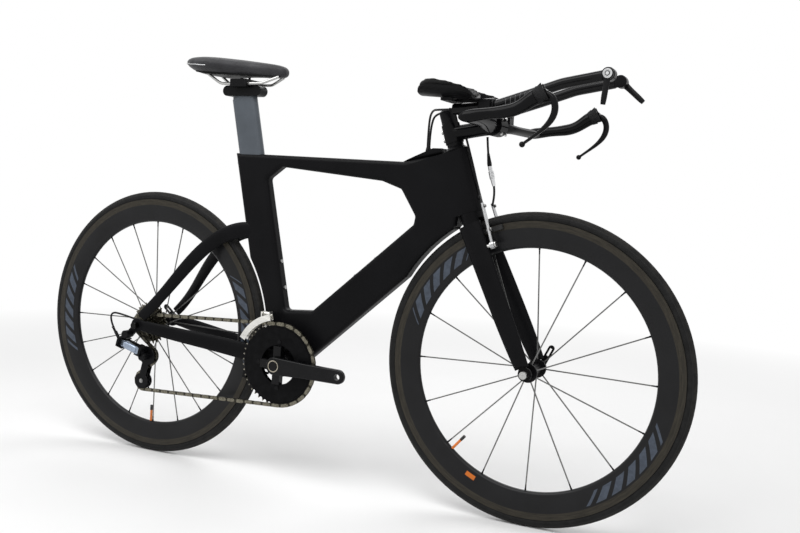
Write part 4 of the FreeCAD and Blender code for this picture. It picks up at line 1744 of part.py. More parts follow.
def pulleys():
    for word, index, at in (("guide", 3, GUIDE), ("tension", 2, TENSION)):
        bore = S.pulley_bolt_radius + S.pin_fit
        disc = toothed(int(S.pulley_teeth_count), PHASES[index], S.tooth_thickness, bore)
        disc.translate(at - SIDE * S.chain_line)
        rim = shaped(f"{word}_teeth", disc)
        hub = rod(f"{word}_hub", at - SIDE * num("chain_line + pulley_hub_width/2"), SIDE,
                  "pulley_hub_radius",
                  "pulley_hub_width")
        hole = rod(f"{word}_hole", at - SIDE * num("chain_line + pulley_hub_width"), SIDE,
                   "pulley_bolt_radius + pin_fit", "2*pulley_hub_width")
        node(f"{word}_pulley", less(f"{word}_cut", joined(f"{word}_solid", [rim, hub]), [hole]))


# Front derailleur

def front_derailleur():
    """Mount on the seat tube, swinging link, and the cage round the chain."""
    low = V(-S.fd_x, -S.fd_low_place, S.fd_low_z)
    high = V(-S.fd_x, -S.fd_high_place, S.fd_high_z)
    half = S.fd_link_length / 2
    wide = "fd_link_length + 2*fd_ear + 2*hub_gap"
    root = block("fd_root", V(low.x, 0, low.z - S.fd_block_width / 2), AHEAD, UP, wide,
                 "2*(fd_low_place - fd_link_half - hub_gap)", "fd_block_width")
    pin_low = rod("fd_pin_low", low - AHEAD * (num(wide) / 2), AHEAD, "fd_pin_radius", wide)
    ears = []
    for side in (1, -1):
        at = low + AHEAD * (side * (half + S.hub_gap + S.fd_ear / 2)) - UP * (S.fd_block_width / 2)
        ears.append(block(f"fd_ear_{'front' if side > 0 else 'rear'}", at + SIDE * (S.fd_link_half / 2),
                          AHEAD, UP,
                          "fd_ear", "3*fd_link_half", "fd_block_width"))
    right_half = block("fd_right_half", V(low.x, -S.frame_pad / 2, low.z - S.fd_block_width), AHEAD, UP,
                       "frame_pad",
                       "frame_pad", "2*fd_block_width")
    mount = less("fd_mount_cut", shared("fd_mount_half", joined("fd_mount_solid", [root, pin_low] + ears),
                                        right_half),
                 [NODES["main_frame"]])
    node("front_derailleur_mount", mount)
    way = (high - low).normalize()
    link = [rod("fd_link_low", low - AHEAD * half, AHEAD, "fd_link_half", "fd_link_length"),
            rod("fd_link_high", high - AHEAD * half, AHEAD, "fd_link_half", "fd_link_length"),
            block("fd_link_bar", low, AHEAD, way, "fd_link_length", "fd_link_half*7/5", (high - low).Length)]
    bores = [rod(f"fd_link_bore_{i}", at - AHEAD * S.fd_link_length, AHEAD, "fd_pin_radius + pin_fit",
                 "2*fd_link_length")
             for i, at in enumerate((low, high))]
    node("front_derailleur_link", less("fd_link_cut", joined("fd_link_solid", link), bores))
    ring = pitch_radius(int(S.ring_teeth_count))
    inner_r = ring + S.fd_cage_room
    outer_r = inner_r + S.fd_cage_depth
    start, end = math.radians(FD_CAGE_START_ANGLE), math.radians(FD_CAGE_END_ANGLE)

    def arc_plate(at):
        def polar(r, a):
            return BB + V(r * math.cos(a), at, r * math.sin(a))
        mid = (start + end) / 2
        edges = [Part.Arc(polar(inner_r, start), polar(inner_r, mid), polar(inner_r, end)).toShape(),
                 Part.LineSegment(polar(inner_r, end), polar(outer_r, end)).toShape(),
                 Part.Arc(polar(outer_r, end), polar(outer_r, mid), polar(outer_r, start)).toShape(),
                 Part.LineSegment(polar(outer_r, start), polar(inner_r, start)).toShape()]
        return Part.Face(Part.Wire(edges)).extrude(SIDE * S.fd_cage_plate)

    outer_y = -(S.chain_line + S.fd_cage_gap + S.fd_cage_plate)
    inner_y = -(S.chain_line - S.fd_cage_gap)
    plates = [shaped("fd_plate_outer", arc_plate(outer_y)), shaped("fd_plate_inner", arc_plate(inner_y))]
    span = inner_y + S.fd_cage_plate - outer_y
    cap_r = outer_r - 2 * S.fd_cage_plate
    for i, share in enumerate(FD_BRIDGE_SHARES):
        angle = start + (end - start) * share
        spot = BB + V(cap_r * math.cos(angle), outer_y, cap_r * math.sin(angle))
        plates.append(rod(f"fd_bridge_{i}", spot, SIDE, "fd_cage_plate", span))
    pin = rod("fd_pin_high", high - AHEAD * (num(wide) / 2), AHEAD, "fd_pin_radius", wide)
    for side in (1, -1):
        at = high + AHEAD * (side * (half + S.hub_gap + S.fd_ear / 2)) - UP * num("fd_link_half*5/2")
        plates.append(block(f"fd_cage_ear_{'front' if side > 0 else 'rear'}",
                            at + SIDE * ((inner_y - high.y) / 2), AHEAD,
                            UP, "fd_ear", abs(inner_y - high.y) + 2 * S.fd_pin_radius, "fd_link_half*7/2"))
    node("front_derailleur_cage", joined("fd_cage_solid", plates + [pin]))


# Cables

def cables():
    """Front brake cable with its adjuster, and the cables that run into the frame."""
    side = S.cable_side
    top_front = V(S.bar_x, side, S.bar_z - S.bar_clamp_radius - S.cable_gap) + AHEAD * -S.bar_clamp_radius
    arm_top = V(S.brake_pivot_x, S.brake_top_place, S.brake_pivot_z) + BRAKE_UP * S.brake_arm_length
    spread = S.adjuster_length
    end = arm_top + BRAKE_OUT * (S.brake_arm_thickness / 2 + S.cable_radius + S.cable_gap)
    mid_up, mid_low, foot = [top_front + V(spread * along, 0, spread * down)
                             for along, down in FRONT_CABLE_SHARES]
    foot.y = end.y * FRONT_CABLE_OUT_SHARE
    housing = tube([top_front, mid_up, mid_low, foot], S.cable_bend, S.cable_radius)
    way = (mid_low - mid_up).normalize()
    start = mid_up + way * (S.adjuster_length / 8)
    barrel = rod("adjuster_barrel", start, way, "adjuster_radius", "adjuster_length")
    hole = rod("adjuster_hole", start - way * S.overrun, way, "cable_radius + seat_gap/2",
               "adjuster_length + 2*overrun")
    adjuster = less("adjuster_cut", barrel, [hole])
    cable = less("front_cable_cut", shaped("front_cable_housing", housing),
                 [NODES["stem"], NODES["base_bar"]])
    node("front_brake_cable", group("front_cable_group", [cable, adjuster]))
    parts = []
    cover_top = S.top_front_z + S.cover_rise + 3 * S.seat_gap
    port = num("(cover_start_x + 3*cover_top_x)/4")
    for sign in (1, -1):
        rear = extension_points(sign)[0]
        begin = rear + V(-S.cable_gap, 0, 0)
        middle = V((begin.x + port) / 2, sign * S.extension_place * SHIFT_CABLE_SHARE, rear.z)
        turn_at = V(port, sign * S.port_radius, rear.z + S.cable_radius)
        turn_in = turn_at + (middle - turn_at).normalize() * S.cord_turn
        turn_out = turn_at - UP * S.cord_turn
        parts.append(tube([begin, middle, turn_in, turn_out, V(port, sign * S.port_radius, cover_top)],
                          S.cable_bend,
                          S.cable_radius))
    face = S.head_front + S.cable_radius + S.cable_gap
    right = -S.port_radius * REAR_CABLE_SIDE_SHARE
    up, out = REAR_CABLE_TOP_SHARES
    above, inside, depth = REAR_CABLE_PORT_SHARES
    high = on_axis(S.stem_low + S.stem_clamp_height * up, S.stem_clamp_radius + S.cable_bend * out, right)
    low = on_axis(S.head_bottom + S.bearing_height * above, face + S.cable_radius, right)
    inlet = on_axis(S.head_bottom + S.bearing_height * inside, S.head_front * depth, right)
    brake = tube([high, low, inlet], S.cable_bend, S.cable_radius)
    whole = shaped("frame_cable_set", Part.Compound(parts + [brake]))
    node("control_cables", less("frame_cable_cut", whole,
                                [NODES["main_frame"], NODES["stem"], NODES["headset_spacers"],
                                                           NODES["cable_cover"], NODES["aerobar_clamps"],
                                                           NODES["extension_bars"]]))
    rear_shift_cable()


def rear_shift_cable():
    """Loop of housing from the end of the stays round to the barrel of the rear derailleur."""
    web = LINK_BASE - LINK_WAY * num("ear_half + link_pin_radius")
    start = web - SIDE * S.outer_link_place + BARREL_WAY * (S.barrel_length + S.cable_gap)
    inner = -num("rear_spacing/2 + dropout_thickness/2")
    low = start + BARREL_WAY * S.loop_rise
    back = REAR_AXLE + V(-S.loop_reach + S.cable_gap, low.y, S.loop_rise)
    ahead = back + AHEAD * S.loop_rise + SIDE * ((inner - low.y) / 3)
    end = REAR_AXLE + V(0, inner, S.loop_end_rise)
    housing = tube([start, low, back, ahead, end], S.loop_bend, S.cable_radius)
    node("rear_shift_cable", less("loop_cut", shaped("loop_housing", housing),
                                  [NODES["chainstays"], NODES["seatstays"]]))


# Assembly

wheels()
quick_release("front_qr_lever", FRONT_AXLE, "front_spacing", S.qr_front_angle)
quick_release("rear_qr_lever", REAR_AXLE, "rear_spacing", S.qr_rear_angle)
main_frame()
chainstays()
seatstays()
cable_cover()
seatpost()
saddle_clamp()
saddle()
saddle_rails()
fork()
headset_spacers()
stem()
base_bar()
brake_levers()
extension_bars()
aerobar_clamps(armrests())
shifters()
front_brake()
rear_brake()
steering_bolts()
chain()
cassette()
cranks()
chainrings()
derailleur_base()
derailleur_links()
derailleur_knuckle()
derailleur_cage()
pulleys()
front_derailleur()
cables()
hardware = frame_bearings() + frame_bolts() + [rear_studs(),
                                               wheel_axle("rear_axle", REAR_AXLE, "rear_spacing")]
node("frame_hardware", group("hardware_group", hardware))
doc.recompute()

for obj in doc.Objects:
    if "Invalid" in obj.State or "Error" in obj.State:
        raise RuntimeError(f"{obj.Name} {obj.Label} is {obj.State}")
os.makedirs("parts", exist_ok=True)
for label, obj in NODES.items():
    shape = obj.Shape
    if shape.isNull() or not shape.isValid() or not shape.Solids:
        raise RuntimeError(f"{label} has no valid solid")
    shape.exportStep(os.path.join("parts", f"{label}.step"))
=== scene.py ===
import math

import bmesh
import bpy
from mathutils import Matrix, Vector
from mathutils.bvhtree import BVHTree


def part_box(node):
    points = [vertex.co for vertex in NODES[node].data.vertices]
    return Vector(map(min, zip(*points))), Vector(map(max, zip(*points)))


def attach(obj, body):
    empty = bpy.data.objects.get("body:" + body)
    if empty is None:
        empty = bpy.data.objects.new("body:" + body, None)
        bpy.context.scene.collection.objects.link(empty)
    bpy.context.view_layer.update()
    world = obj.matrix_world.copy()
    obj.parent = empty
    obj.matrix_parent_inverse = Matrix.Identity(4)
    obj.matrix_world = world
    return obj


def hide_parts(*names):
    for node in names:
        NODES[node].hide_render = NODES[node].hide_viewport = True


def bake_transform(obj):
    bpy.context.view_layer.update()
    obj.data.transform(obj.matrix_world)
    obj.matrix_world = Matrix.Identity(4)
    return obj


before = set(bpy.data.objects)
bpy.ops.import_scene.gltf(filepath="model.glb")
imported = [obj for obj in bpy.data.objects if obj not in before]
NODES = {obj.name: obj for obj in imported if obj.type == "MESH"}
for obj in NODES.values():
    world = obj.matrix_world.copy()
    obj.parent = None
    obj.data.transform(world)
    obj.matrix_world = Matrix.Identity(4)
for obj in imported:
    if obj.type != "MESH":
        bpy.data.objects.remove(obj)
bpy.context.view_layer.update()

bl_info = {
    "name": "Time trial bike",
    "version": (1, 0, 0),
    "blender": (4, 5, 0),
    "location": "View3D > Sidebar > Bike",
    "description": "Finishes, soft pieces, cables and studio for the time trial bike",
    "category": "Object",
}


def centre(node):
    """Middle of a CAD node's box."""
    low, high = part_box(node)
    return (low + high) / 2


SIDES = ((-1, "right"), (1, "left"))
HUB = centre("front_hub")
FRONT_AXLE, REAR_AXLE = Vector((HUB.x, 0, HUB.z)), Vector((-HUB.x, 0, HUB.z))
CRANK_AXIS = Vector((-0.09662, 0, 0.2815))
CHAIN_LINE = 0.048

# Saddle: its tail, then places along it with width, underside and top as shares of its size
SADDLE_REAR = Vector((-0.402, 0, 0.961))
SADDLE_SHARES = (
    (0.0, 0.44, 0.42, 0.70), (0.05, 0.72, 0.20, 0.88), (0.14, 0.94, 0.0, 0.97),
    (0.26, 1.0, -0.06, 1.0), (0.40, 0.84, -0.04, 0.97), (0.55, 0.52, 0.0, 0.92),
    (0.70, 0.37, 0.0, 0.86), (0.85, 0.30, -0.02, 0.79), (0.95, 0.25, 0.0, 0.70),
    (1.0, 0.14, 0.12, 0.52))
# Arm pads: place of the left one, their tilt and the gap to their cups, then places along them
# with width and thickness as shares
PAD_PLACE, PAD_TILT, PAD_GAP = Vector((0.322, 0.098, 0.897)), math.radians(4), 0.0047
PAD_SHARES = ((0.0, 0.52, 0.9), (0.06, 0.78, 1.25), (0.2, 0.96, 1.35), (0.5, 1.0, 1.0),
              (0.8, 0.94, 0.75), (0.94, 0.76, 0.6), (1.0, 0.5, 0.5))
CLOTH_PRESSURE, CLOTH_FRAMES = 4.0, 20

# Cable routes, the same points as in the part's source
FRONT_BRAKE_ROUTE = ((0.3715, 0.013, 0.8262), (0.3759, 0.013, 0.769), (0.3979, 0.013, 0.7118),
                     (0.3891, 0.01705, 0.6788))
SHIFT_ROUTE = ((0.3177, 0.056, 0.878), (0.27885, 0.04592, 0.878), (0.25445, 0.02021, 0.87951),
               (0.24, 0.005, 0.8594), (0.24, 0.005, 0.7983))
REAR_BRAKE_ROUTE = ((0.3287, -0.008, 0.828), (0.3689, -0.008, 0.7098), (0.3675, -0.008, 0.6891))
REAR_SHIFT_ROUTE = ((-0.56507, -0.08, 0.31503), (-0.57998, -0.08, 0.33632),
                    (-0.5807, -0.08, 0.362), (-0.5547, -0.07608, 0.362), (-0.505, -0.06825, 0.349))
# Heights on the front brake cable where its adjuster ends, meets its boot, and the boot ends
ADJUSTER_LOW, ADJUSTER_HIGH, BOOT_HIGH = 0.722, 0.764, 0.792
# How far a cap starts off the end of its housing
CAP_STEP = Vector((0.001, 0, 0))
# Where the shift cables and the rear brake cable enter the frame
SHIFT_PORT, BRAKE_PORT = Vector((0.24, 0.005, 0.784)), Vector((0.36796, -0.008, 0.69629))
HEAD_OUT = Vector((0.951, 0, 0.309))

# Turned profiles from axis to axis: radius and height as shares of the piece's own
WASHER = ((0, 0), (1.3, 0), (1.3, 0.2), (1.2, 0.28), (0, 0.28))
HEX_HEAD = ((0, 0.2), (1, 0.2), (1, 0.85), (0.88, 1), (0, 1))
FERRULE = ((0, 0), (1.024, 0), (1.28, 0.08), (1.28, 0.78), (1.5, 0.82), (1.5, 0.95), (1.38, 1),
           (0, 1))
KNURLS = tuple((wide, 0.27 + 0.075 * i + rise) for i in range(5)
               for wide, rise in ((2.45, 0), (2.45, 0.045), (2.2, 0.055)))
ADJUSTER = ((0, 0), (1.6, 0), (1.9, 0.06), (1.9, 0.25), *KNURLS, (1.9, 0.68), (1.7, 0.9),
            (1.4, 1), (0, 1))
BOOT = ((0, 0), (2.0, 0), (2.1, 0.2), (1.6, 0.6), (1.25, 0.96), (1.1, 1), (0, 1))
NIPPLE = ((0, 0), (0.72, 0), (0.86, 12 / 145), (0.86, 85 / 145), (1.1, 95 / 145), (1.1, 1), (0, 1))
# Turned profiles in metres
SHIFT_BOOT = ((0, 0), (0.0046, 0), (0.0046, 0.006), (0.0038, 0.012), (0.0031, 0.0155),
              (0.0028, 0.016), (0, 0.016))
BRAKE_GROMMET = ((0, -0.001), (0.0058, -0.001), (0.0058, 0.0012), (0.0046, 0.0026), (0, 0.0026))
SHIFTER_CAP = ((0, 0), (0.0092, 0), (0.0095, 0.0004), (0.0095, 0.0014), (0.0088, 0.0021),
               (0.0066, 0.0022), (0.0062, 0.0017), (0.0038, 0.0017), (0.0034, 0.0026), (0, 0.0028))

# Spokes: radius where they leave the hub and enter the rim, and the gap where two cross
SPOKE_FOOT, SPOKE_HEAD, SPOKE_GAP, NIPPLE_LENGTH = 0.017, 0.2615, 0.0012, 0.0145
# Seat tube: along it and forward of it. Post: from its box to the middle of its slanted end, and
# half sizes there and at the foot of the saddle clamp
SEAT_UP, SEAT_FORE = Vector((-0.1925, 0, 0.9813)), Vector((0.9813, 0, 0.1925))
POST_AHEAD, POST_BELOW = 0.03287, 0.00645
POST_LONG, POST_WIDE = 0.0335, 0.01125
CLAMP_LONG, CLAMP_WIDE, CLAMP_FOOT = 0.0325, 0.0118, 0.9155
# Rear derailleur's outer link: along it, across it, its start, and its cover's place and half sizes
LINK_WAY, LINK_PIN = Vector((0.96126, 0, -0.27564)), Vector((0.27564, 0, 0.96126))
LINK_BASE = Vector((-0.540, 0, 0.288))
COVER_AHEAD, COVER_LONG, COVER_TALL = 0.0245, 0.0222, 0.0088
# Front brake: foot and top of the left arm, the way out of its front face and how far that face is
BRAKE_FOOT, BRAKE_TOP = Vector((0.415, 0.040, 0.598)), Vector((0.38354, 0.031, 0.68445))
BRAKE_OUT, BRAKE_FACE = Vector((0.9397, 0, 0.342)), 0.0028
# Middle of the left shifter's outer face
SHIFTER_HUB = Vector((0.64089, 0.0739, 0.94632))


def colour_property(name, description, *rgb):
    return bpy.props.FloatVectorProperty(
        name=name, description=description, subtype="COLOR", size=4, default=(*rgb, 1))


def length_property(name, description, metres):
    return bpy.props.FloatProperty(
        name=name, description=description, default=metres, unit="LENGTH")


def angle_property(name, description, degrees):
    return bpy.props.FloatProperty(
        name=name, description=description, default=math.radians(degrees), subtype="ANGLE")


class BikeFinish(bpy.types.PropertyGroup):
    """Colours of the bike's finishes"""

    carbon: colour_property("Satin carbon", "Frame, fork and stays", 0.0042, 0.0042, 0.0048)
    gloss: colour_property("Gloss black", "Bars, stem, cranks and levers", 0.0034, 0.0034, 0.0039)
    bars: colour_property("Rim bars", "Slanted bars on the rims", 0.060, 0.073, 0.097)
    track: colour_property(
        "Brake track", "Mottled braking surface of the rims", 0.029, 0.025, 0.018)
    rubber: colour_property("Tyre", "Tyre rubber", 0.0085, 0.0085, 0.0085)
    steel: colour_property("Steel", "Bolts, axles, rails and spokes", 0.50, 0.50, 0.49)
    alloy: colour_property("Aluminium", "Front brake, adjuster and trim", 0.52, 0.525, 0.53)
    chain: colour_property("Chain", "Chain and cogs", 0.22, 0.205, 0.16)
    leather: colour_property("Saddle", "Saddle cover", 0.026, 0.026, 0.029)
    foam: colour_property("Arm pads", "Covered foam of the arm pads", 0.0075, 0.0075, 0.008)
    post: colour_property("Seatpost", "Slate paint of the seatpost", 0.068, 0.079, 0.093)
    orange: colour_property("Valve", "Orange valve stems and rim patch", 0.80, 0.21, 0.03)


class BikeSizes(bpy.types.PropertyGroup):
    """Sizes of the pieces that are modelled here"""

    saddle_length: length_property("Saddle length", "Tail to nose", 0.271)
    saddle_width: length_property("Saddle width", "Widest place", 0.138)
    saddle_height: length_property("Saddle height", "Lowest edge to crown", 0.040)
    saddle_angle: angle_property("Saddle angle", "Nose down", 3)
    pad_length: length_property("Pad length", "Arm pad, rear to front", 0.120)
    pad_width: length_property("Pad width", "Arm pad across", 0.086)
    pad_thickness: length_property("Pad thickness", "Foam of the arm pad", 0.014)
    cup_radius: length_property("Cup radius", "Inside of the cup below the pad", 0.0593)
    voxel: length_property("Cloth mesh", "Edge of the mesh that is blown up", 0.004)
    swell: length_property("Swell", "Most that a padded piece grows", 0.0022)
    cable: length_property("Cable radius", "Brake and shift housings", 0.0024)
    nipple: length_property("Nipple radius", "Spoke nipples at the rims", 0.0019)


class BikeStudio(bpy.types.PropertyGroup):
    """Camera and light"""

    camera: bpy.props.FloatVectorProperty(
        name="Camera", description="Place of the camera", subtype="TRANSLATION", unit="LENGTH",
        default=(1.0475, -1.8499, 0.6947))
    yaw: angle_property("Yaw", "From +X to +Y", 115.01)
    pitch: angle_property("Pitch", "Upwards", -4.53)
    roll: angle_property("Roll", "Clockwise", -2.701)
    lens: bpy.props.FloatProperty(
        name="Lens", description="Focal length", default=40.96, unit="CAMERA")
    sky: bpy.props.FloatProperty(
        name="Sky", description="Light of the room on the bike", default=0.55)
    lamp: bpy.props.FloatProperty(
        name="Lamp", description="Each overhead lamp", default=26.0, unit="POWER")
    floor: colour_property("Floor", "Pale floor", 0.86, 0.86, 0.86)


def finish():
    return bpy.context.scene.bike_finish


def sizes():
    return bpy.context.scene.bike_sizes


def shade(colour, share):
    return tuple(c * share for c in colour[:3]) + (1,)


class Nodes:
    """A node tree whose nodes are linked as they are made."""

    def __init__(self, tree):
        self.tree = tree

    def feed(self, value, socket):
        """Links a socket's output to an input, or sets a plain value on it."""
        if isinstance(value, bpy.types.NodeSocket):
            self.tree.links.new(value, socket)
        else:
            socket.default_value = value

    def add(self, kind, inputs=(), **settings):
        """Outputs of a new node; its inputs are given by name or number."""
        node = self.tree.nodes.new("ShaderNode" + kind)
        for key, value in settings.items():
            setattr(node, key, value)
        for key, value in dict(inputs).items():
            self.feed(value, node.inputs[key])
        return node.outputs

    def math(self, operation, *inputs):
        return self.add("Math", enumerate(inputs), operation=operation)[0]

    def both(self, first, second):
        return self.math("MULTIPLY", first, second)

    def plus(self, first, second):
        return self.math("ADD", first, second)

    def minus(self, first, second):
        return self.math("SUBTRACT", first, second)

    def wave(self, value, pitch):
        """Ripples that repeat at a pitch."""
        return self.math("SINE", self.both(value, 2 * math.pi / pitch))

    def span(self, value, low, high, first=0.0, last=1.0):
        """The value mapped from one range to another, kept inside it."""
        return self.add("MapRange", {"Value": value, "From Min": low, "From Max": high,
                                     "To Min": first, "To Max": last})["Result"]

    def spread(self, value, first=0.0, last=1.0):
        """A noise mapped from where most of it lies to another range."""
        return self.span(value, 0.3, 0.7, first, last)

    def within(self, value, middle, half, soft):
        """1 inside middle plus and minus half, 0 outside, with a soft edge."""
        off = self.math("ABSOLUTE", self.minus(value, middle))
        return self.span(off, half - soft, half + soft, 1.0, 0.0)

    def seen(self):
        """1 for rays from the camera, from gloss and through glass."""
        rays = self.add("LightPath")
        total = self.math("MAXIMUM", rays["Is Camera Ray"], rays["Is Glossy Ray"])
        return self.math("MAXIMUM", total, rays["Is Transmission Ray"])


class Finish(Nodes):
    """One material: its surface shader, and patterns that follow the place on the piece."""

    def __init__(self, name, **plain):
        self.material = bpy.data.materials.new(name)
        self.material.use_nodes = True
        super().__init__(self.material.node_tree)
        self.surface = self.tree.nodes["Principled BSDF"]
        self.place = self.add("TexCoord")["Object"]
        for socket, value in plain.items():
            self.surface.inputs[socket.replace("_", " ")].default_value = value

    def vector(self, operation, *inputs, out=0):
        return self.add("VectorMath", enumerate(inputs), operation=operation)[out]

    def parts(self, vector):
        return self.add("SeparateXYZ", {0: vector})

    def noise(self, scale, detail=3.0, roughness=0.55, place=None):
        return self.add("TexNoise", {"Vector": place or self.place, "Scale": scale,
                                     "Detail": detail, "Roughness": roughness})["Fac"]

    def cells(self, scale):
        return self.add("TexVoronoi", {"Vector": self.place, "Scale": scale})["Distance"]

    def grain(self, factors):
        """Noise drawn out along the directions with small factors."""
        return self.noise(1.0, 3.0, 0.6, self.vector("MULTIPLY", self.place, factors))

    def mix(self, share, first, second):
        """A colour between two colours."""
        return self.add("Mix", {0: share, 6: first, 7: second}, data_type="RGBA")[2]

    def blend(self, share, first, second):
        """A number between two numbers."""
        return self.add("Mix", {0: share, 2: first, 3: second})[0]

    def tones(self, value, colour, first, last, low=0.3, high=0.7):
        """Shades of a colour, from the first to the last as a value goes from low to high."""
        return self.mix(self.span(value, low, high), shade(colour, first), shade(colour, last))

    def colour(self, value):
        self.feed(value, self.surface.inputs["Base Color"])

    def rough(self, value):
        self.feed(value, self.surface.inputs["Roughness"])

    def metal(self, value):
        self.feed(value, self.surface.inputs["Metallic"])

    def bump(self, height, depth, strength=1.0):
        made = self.add("Bump", {"Strength": strength, "Distance": depth, "Height": height})
        self.feed(made["Normal"], self.surface.inputs["Normal"])

    def polar(self, axle):
        """Radius and angle about an axle, and the place across it."""
        off = self.vector("SUBTRACT", self.place, tuple(axle))
        x, y, z = self.parts(off)
        radius = self.vector("LENGTH", self.vector("MULTIPLY", off, (1, 0, 1)), out=1)
        return radius, self.math("ARCTAN2", z, x), y


def painted(name, colour, rough, specular=0.3, coat=0.0, peel=0.00002):
    """Paint or lacquer: slow change of tone, fine haze in the gloss and a faint orange peel."""
    f = Finish(name, Specular_IOR_Level=specular, Coat_Weight=coat, Coat_Roughness=0.12)
    tone = f.noise(9.0, 4.0)
    haze = f.plus(f.both(tone, 0.6), f.both(f.noise(160.0, 2.0), 0.4))
    f.colour(f.tones(tone, colour, 0.8, 1.25))
    f.rough(f.spread(haze, rough - 0.05, rough + 0.06))
    f.bump(f.noise(900.0, 1.0), peel)
    return f


def metal_finish(name, colour, rough, grain=(60, 900, 60), grime=0.0, black=None):
    """Bare metal with drawn grain and dull patches, blackened round the axle that black names."""
    f = Finish(name, Metallic=1.0)
    lines = f.grain(grain)
    dull = f.noise(70.0, 5.0, 0.65)
    base = f.tones(lines, colour, 0.86, 1.08)
    if grime:
        base = f.mix(f.both(f.span(dull, 0.42, 0.62), grime), base, shade(colour, 0.16))
    if black:
        near = f.span(f.polar(black)[0], 0.029, 0.031, 1.0, 0.0)
        base = f.mix(near, base, shade(colour, 0.05))
    f.colour(base)
    worn = f.plus(f.both(lines, 0.5), f.both(dull, 0.5))
    f.rough(f.span(worn, 0.35, 0.68, rough - 0.07, rough + 0.12))
    f.bump(lines, 0.00003, 0.5)
    return f


def black_alloy(name, colour, rough=0.38):
    """Black anodised metal: fine blasted grain, slightly worn."""
    f = Finish(name, Specular_IOR_Level=0.07, Coat_Weight=0.08, Coat_Roughness=0.25)
    wear = f.noise(45.0, 6.0, 0.7)
    f.colour(f.tones(wear, colour, 1.2, 3.2, 0.58, 0.78))
    f.rough(f.span(wear, 0.3, 0.75, rough - 0.06, rough + 0.12))
    f.bump(f.noise(1400.0, 2.0), 0.00002, 0.7)
    return f


def rim_finish(name, axle, groups, patch):
    """Deep rim: lacquered carbon, mottled brake track with turned lines, bars and a patch."""
    c = finish()
    band, slope = 0.286, 4.2
    half_pitch, half_bar = math.radians(3.6), math.radians(2.3)
    f = Finish(name, Specular_IOR_Level=0.2, Coat_Weight=0.06, Coat_Roughness=0.2)
    radius, angle, _across = f.polar(axle)
    track = f.span(radius, 0.3022, 0.3030)
    ring = f.add("CombineXYZ", {0: f.both(radius, 320.0), 1: f.both(angle, 9.0)})[0]
    speck = f.noise(1.0, 4.0, 0.7, ring)
    slant = f.plus(angle, f.both(f.minus(radius, band), slope))
    mask = 0.0
    for middle, half in groups:
        off = f.math("WRAP", f.minus(slant, math.radians(middle)), math.pi, -math.pi)
        inside = f.within(off, 0.0, math.radians(half), 0.002)
        stripe = f.within(f.math("WRAP", off, half_pitch, -half_pitch), 0.0, half_bar, 0.0015)
        mask = f.math("MAXIMUM", mask, f.both(inside, stripe))
    mask = f.both(mask, f.within(radius, band, 0.0125, 0.0003))
    body = f.tones(f.noise(14.0, 4.0), c.carbon, 0.9, 1.6)
    printed = f.tones(f.noise(120.0, 4.0), c.bars, 0.82, 1.12, 0.35, 0.65)
    side = f.mix(mask, body, printed)
    if patch:
        wide = f.within(angle, math.radians(patch), math.radians(2.4), 0.002)
        tall = f.within(radius, 0.2755, 0.0048, 0.0003)
        side = f.mix(f.both(wide, tall), side, shade(c.orange, 0.7))
    f.colour(f.mix(track, side, f.tones(speck, c.track, 0.45, 1.35)))
    f.rough(f.plus(f.blend(track, 0.34, 0.5), f.spread(speck, -0.04, 0.06)))
    f.bump(f.both(f.wave(radius, 0.0007), track), 0.00002, 0.5)
    return f


def tyre_finish(name, axle):
    """Rubber: ribbed side wall, a seam at the shoulder, file pattern and dust on the tread."""
    c = finish()
    f = Finish(name, Specular_IOR_Level=0.12)
    radius, angle, across = f.polar(axle)
    tread = f.span(radius, 0.3292, 0.3306)
    seam = f.within(radius, 0.3286, 0.0003, 0.0002)
    smooth_middle = f.within(across, 0.0, 0.0035, 0.0012)
    around, over = f.both(angle, 700.0), f.both(across, 900.0)
    file = f.both(f.math("SINE", f.plus(around, over)), f.math("SINE", f.minus(around, over)))
    file = f.both(file, f.minus(1.0, smooth_middle))
    dust = f.noise(55.0, 6.0, 0.7)
    wall = f.tones(dust, c.rubber, 0.85, 1.9, 0.35, 0.7)
    top = f.mix(f.span(dust, 0.4, 0.75), shade(c.rubber, 1.4), (0.034, 0.032, 0.029, 1))
    f.colour(f.mix(seam, f.mix(tread, wall, top), shade(c.rubber, 3.0)))
    f.rough(f.plus(f.blend(tread, 0.5, 0.72), f.spread(dust, -0.05, 0.1)))
    f.bump(f.blend(tread, f.both(f.wave(radius, 0.0009), 0.5), file), 0.00018, 0.6)
    return f


def valve_finish(name, axle):
    """Orange threaded stem with a black cap at its inner end."""
    f = Finish(name, Specular_IOR_Level=0.5)
    radius = f.polar(axle)[0]
    cap = f.span(radius, 0.2311, 0.2319, 1.0, 0.0)
    tone = f.noise(220.0, 3.0)
    f.colour(f.mix(cap, f.tones(tone, finish().orange, 0.8, 1.1), (0.008, 0.008, 0.008, 1)))
    f.rough(f.blend(cap, f.spread(tone, 0.26, 0.4), 0.5))
    f.bump(f.both(f.wave(radius, 0.0008), f.minus(1.0, cap)), 0.00012, 0.8)
    return f


def chain_finish(name):
    """Plated outer plates, worn and oily, over inner plates and rollers painted dark as shade in
    the gaps between the outer plates.
    """
    c = finish()
    f = Finish(name, Metallic=1.0)
    across = f.parts(f.place)[1]
    outer = f.span(f.math("ABSOLUTE", f.plus(across, CHAIN_LINE)), 0.00192, 0.00202)
    wear = f.noise(420.0, 5.0, 0.65)
    plate = f.tones(wear, c.chain, 1.15, 0.42, 0.36, 0.62)
    # Painted shade: the inner plates and rollers in the gaps between the outer plates are painted
    # far darker than the outer plates
    inside = f.tones(wear, c.chain, 0.26, 0.08, 0.36, 0.62)
    f.colour(f.mix(outer, inside, plate))
    f.rough(f.spread(wear, 0.26, 0.5))
    f.bump(wear, 0.00003, 0.5)
    return f


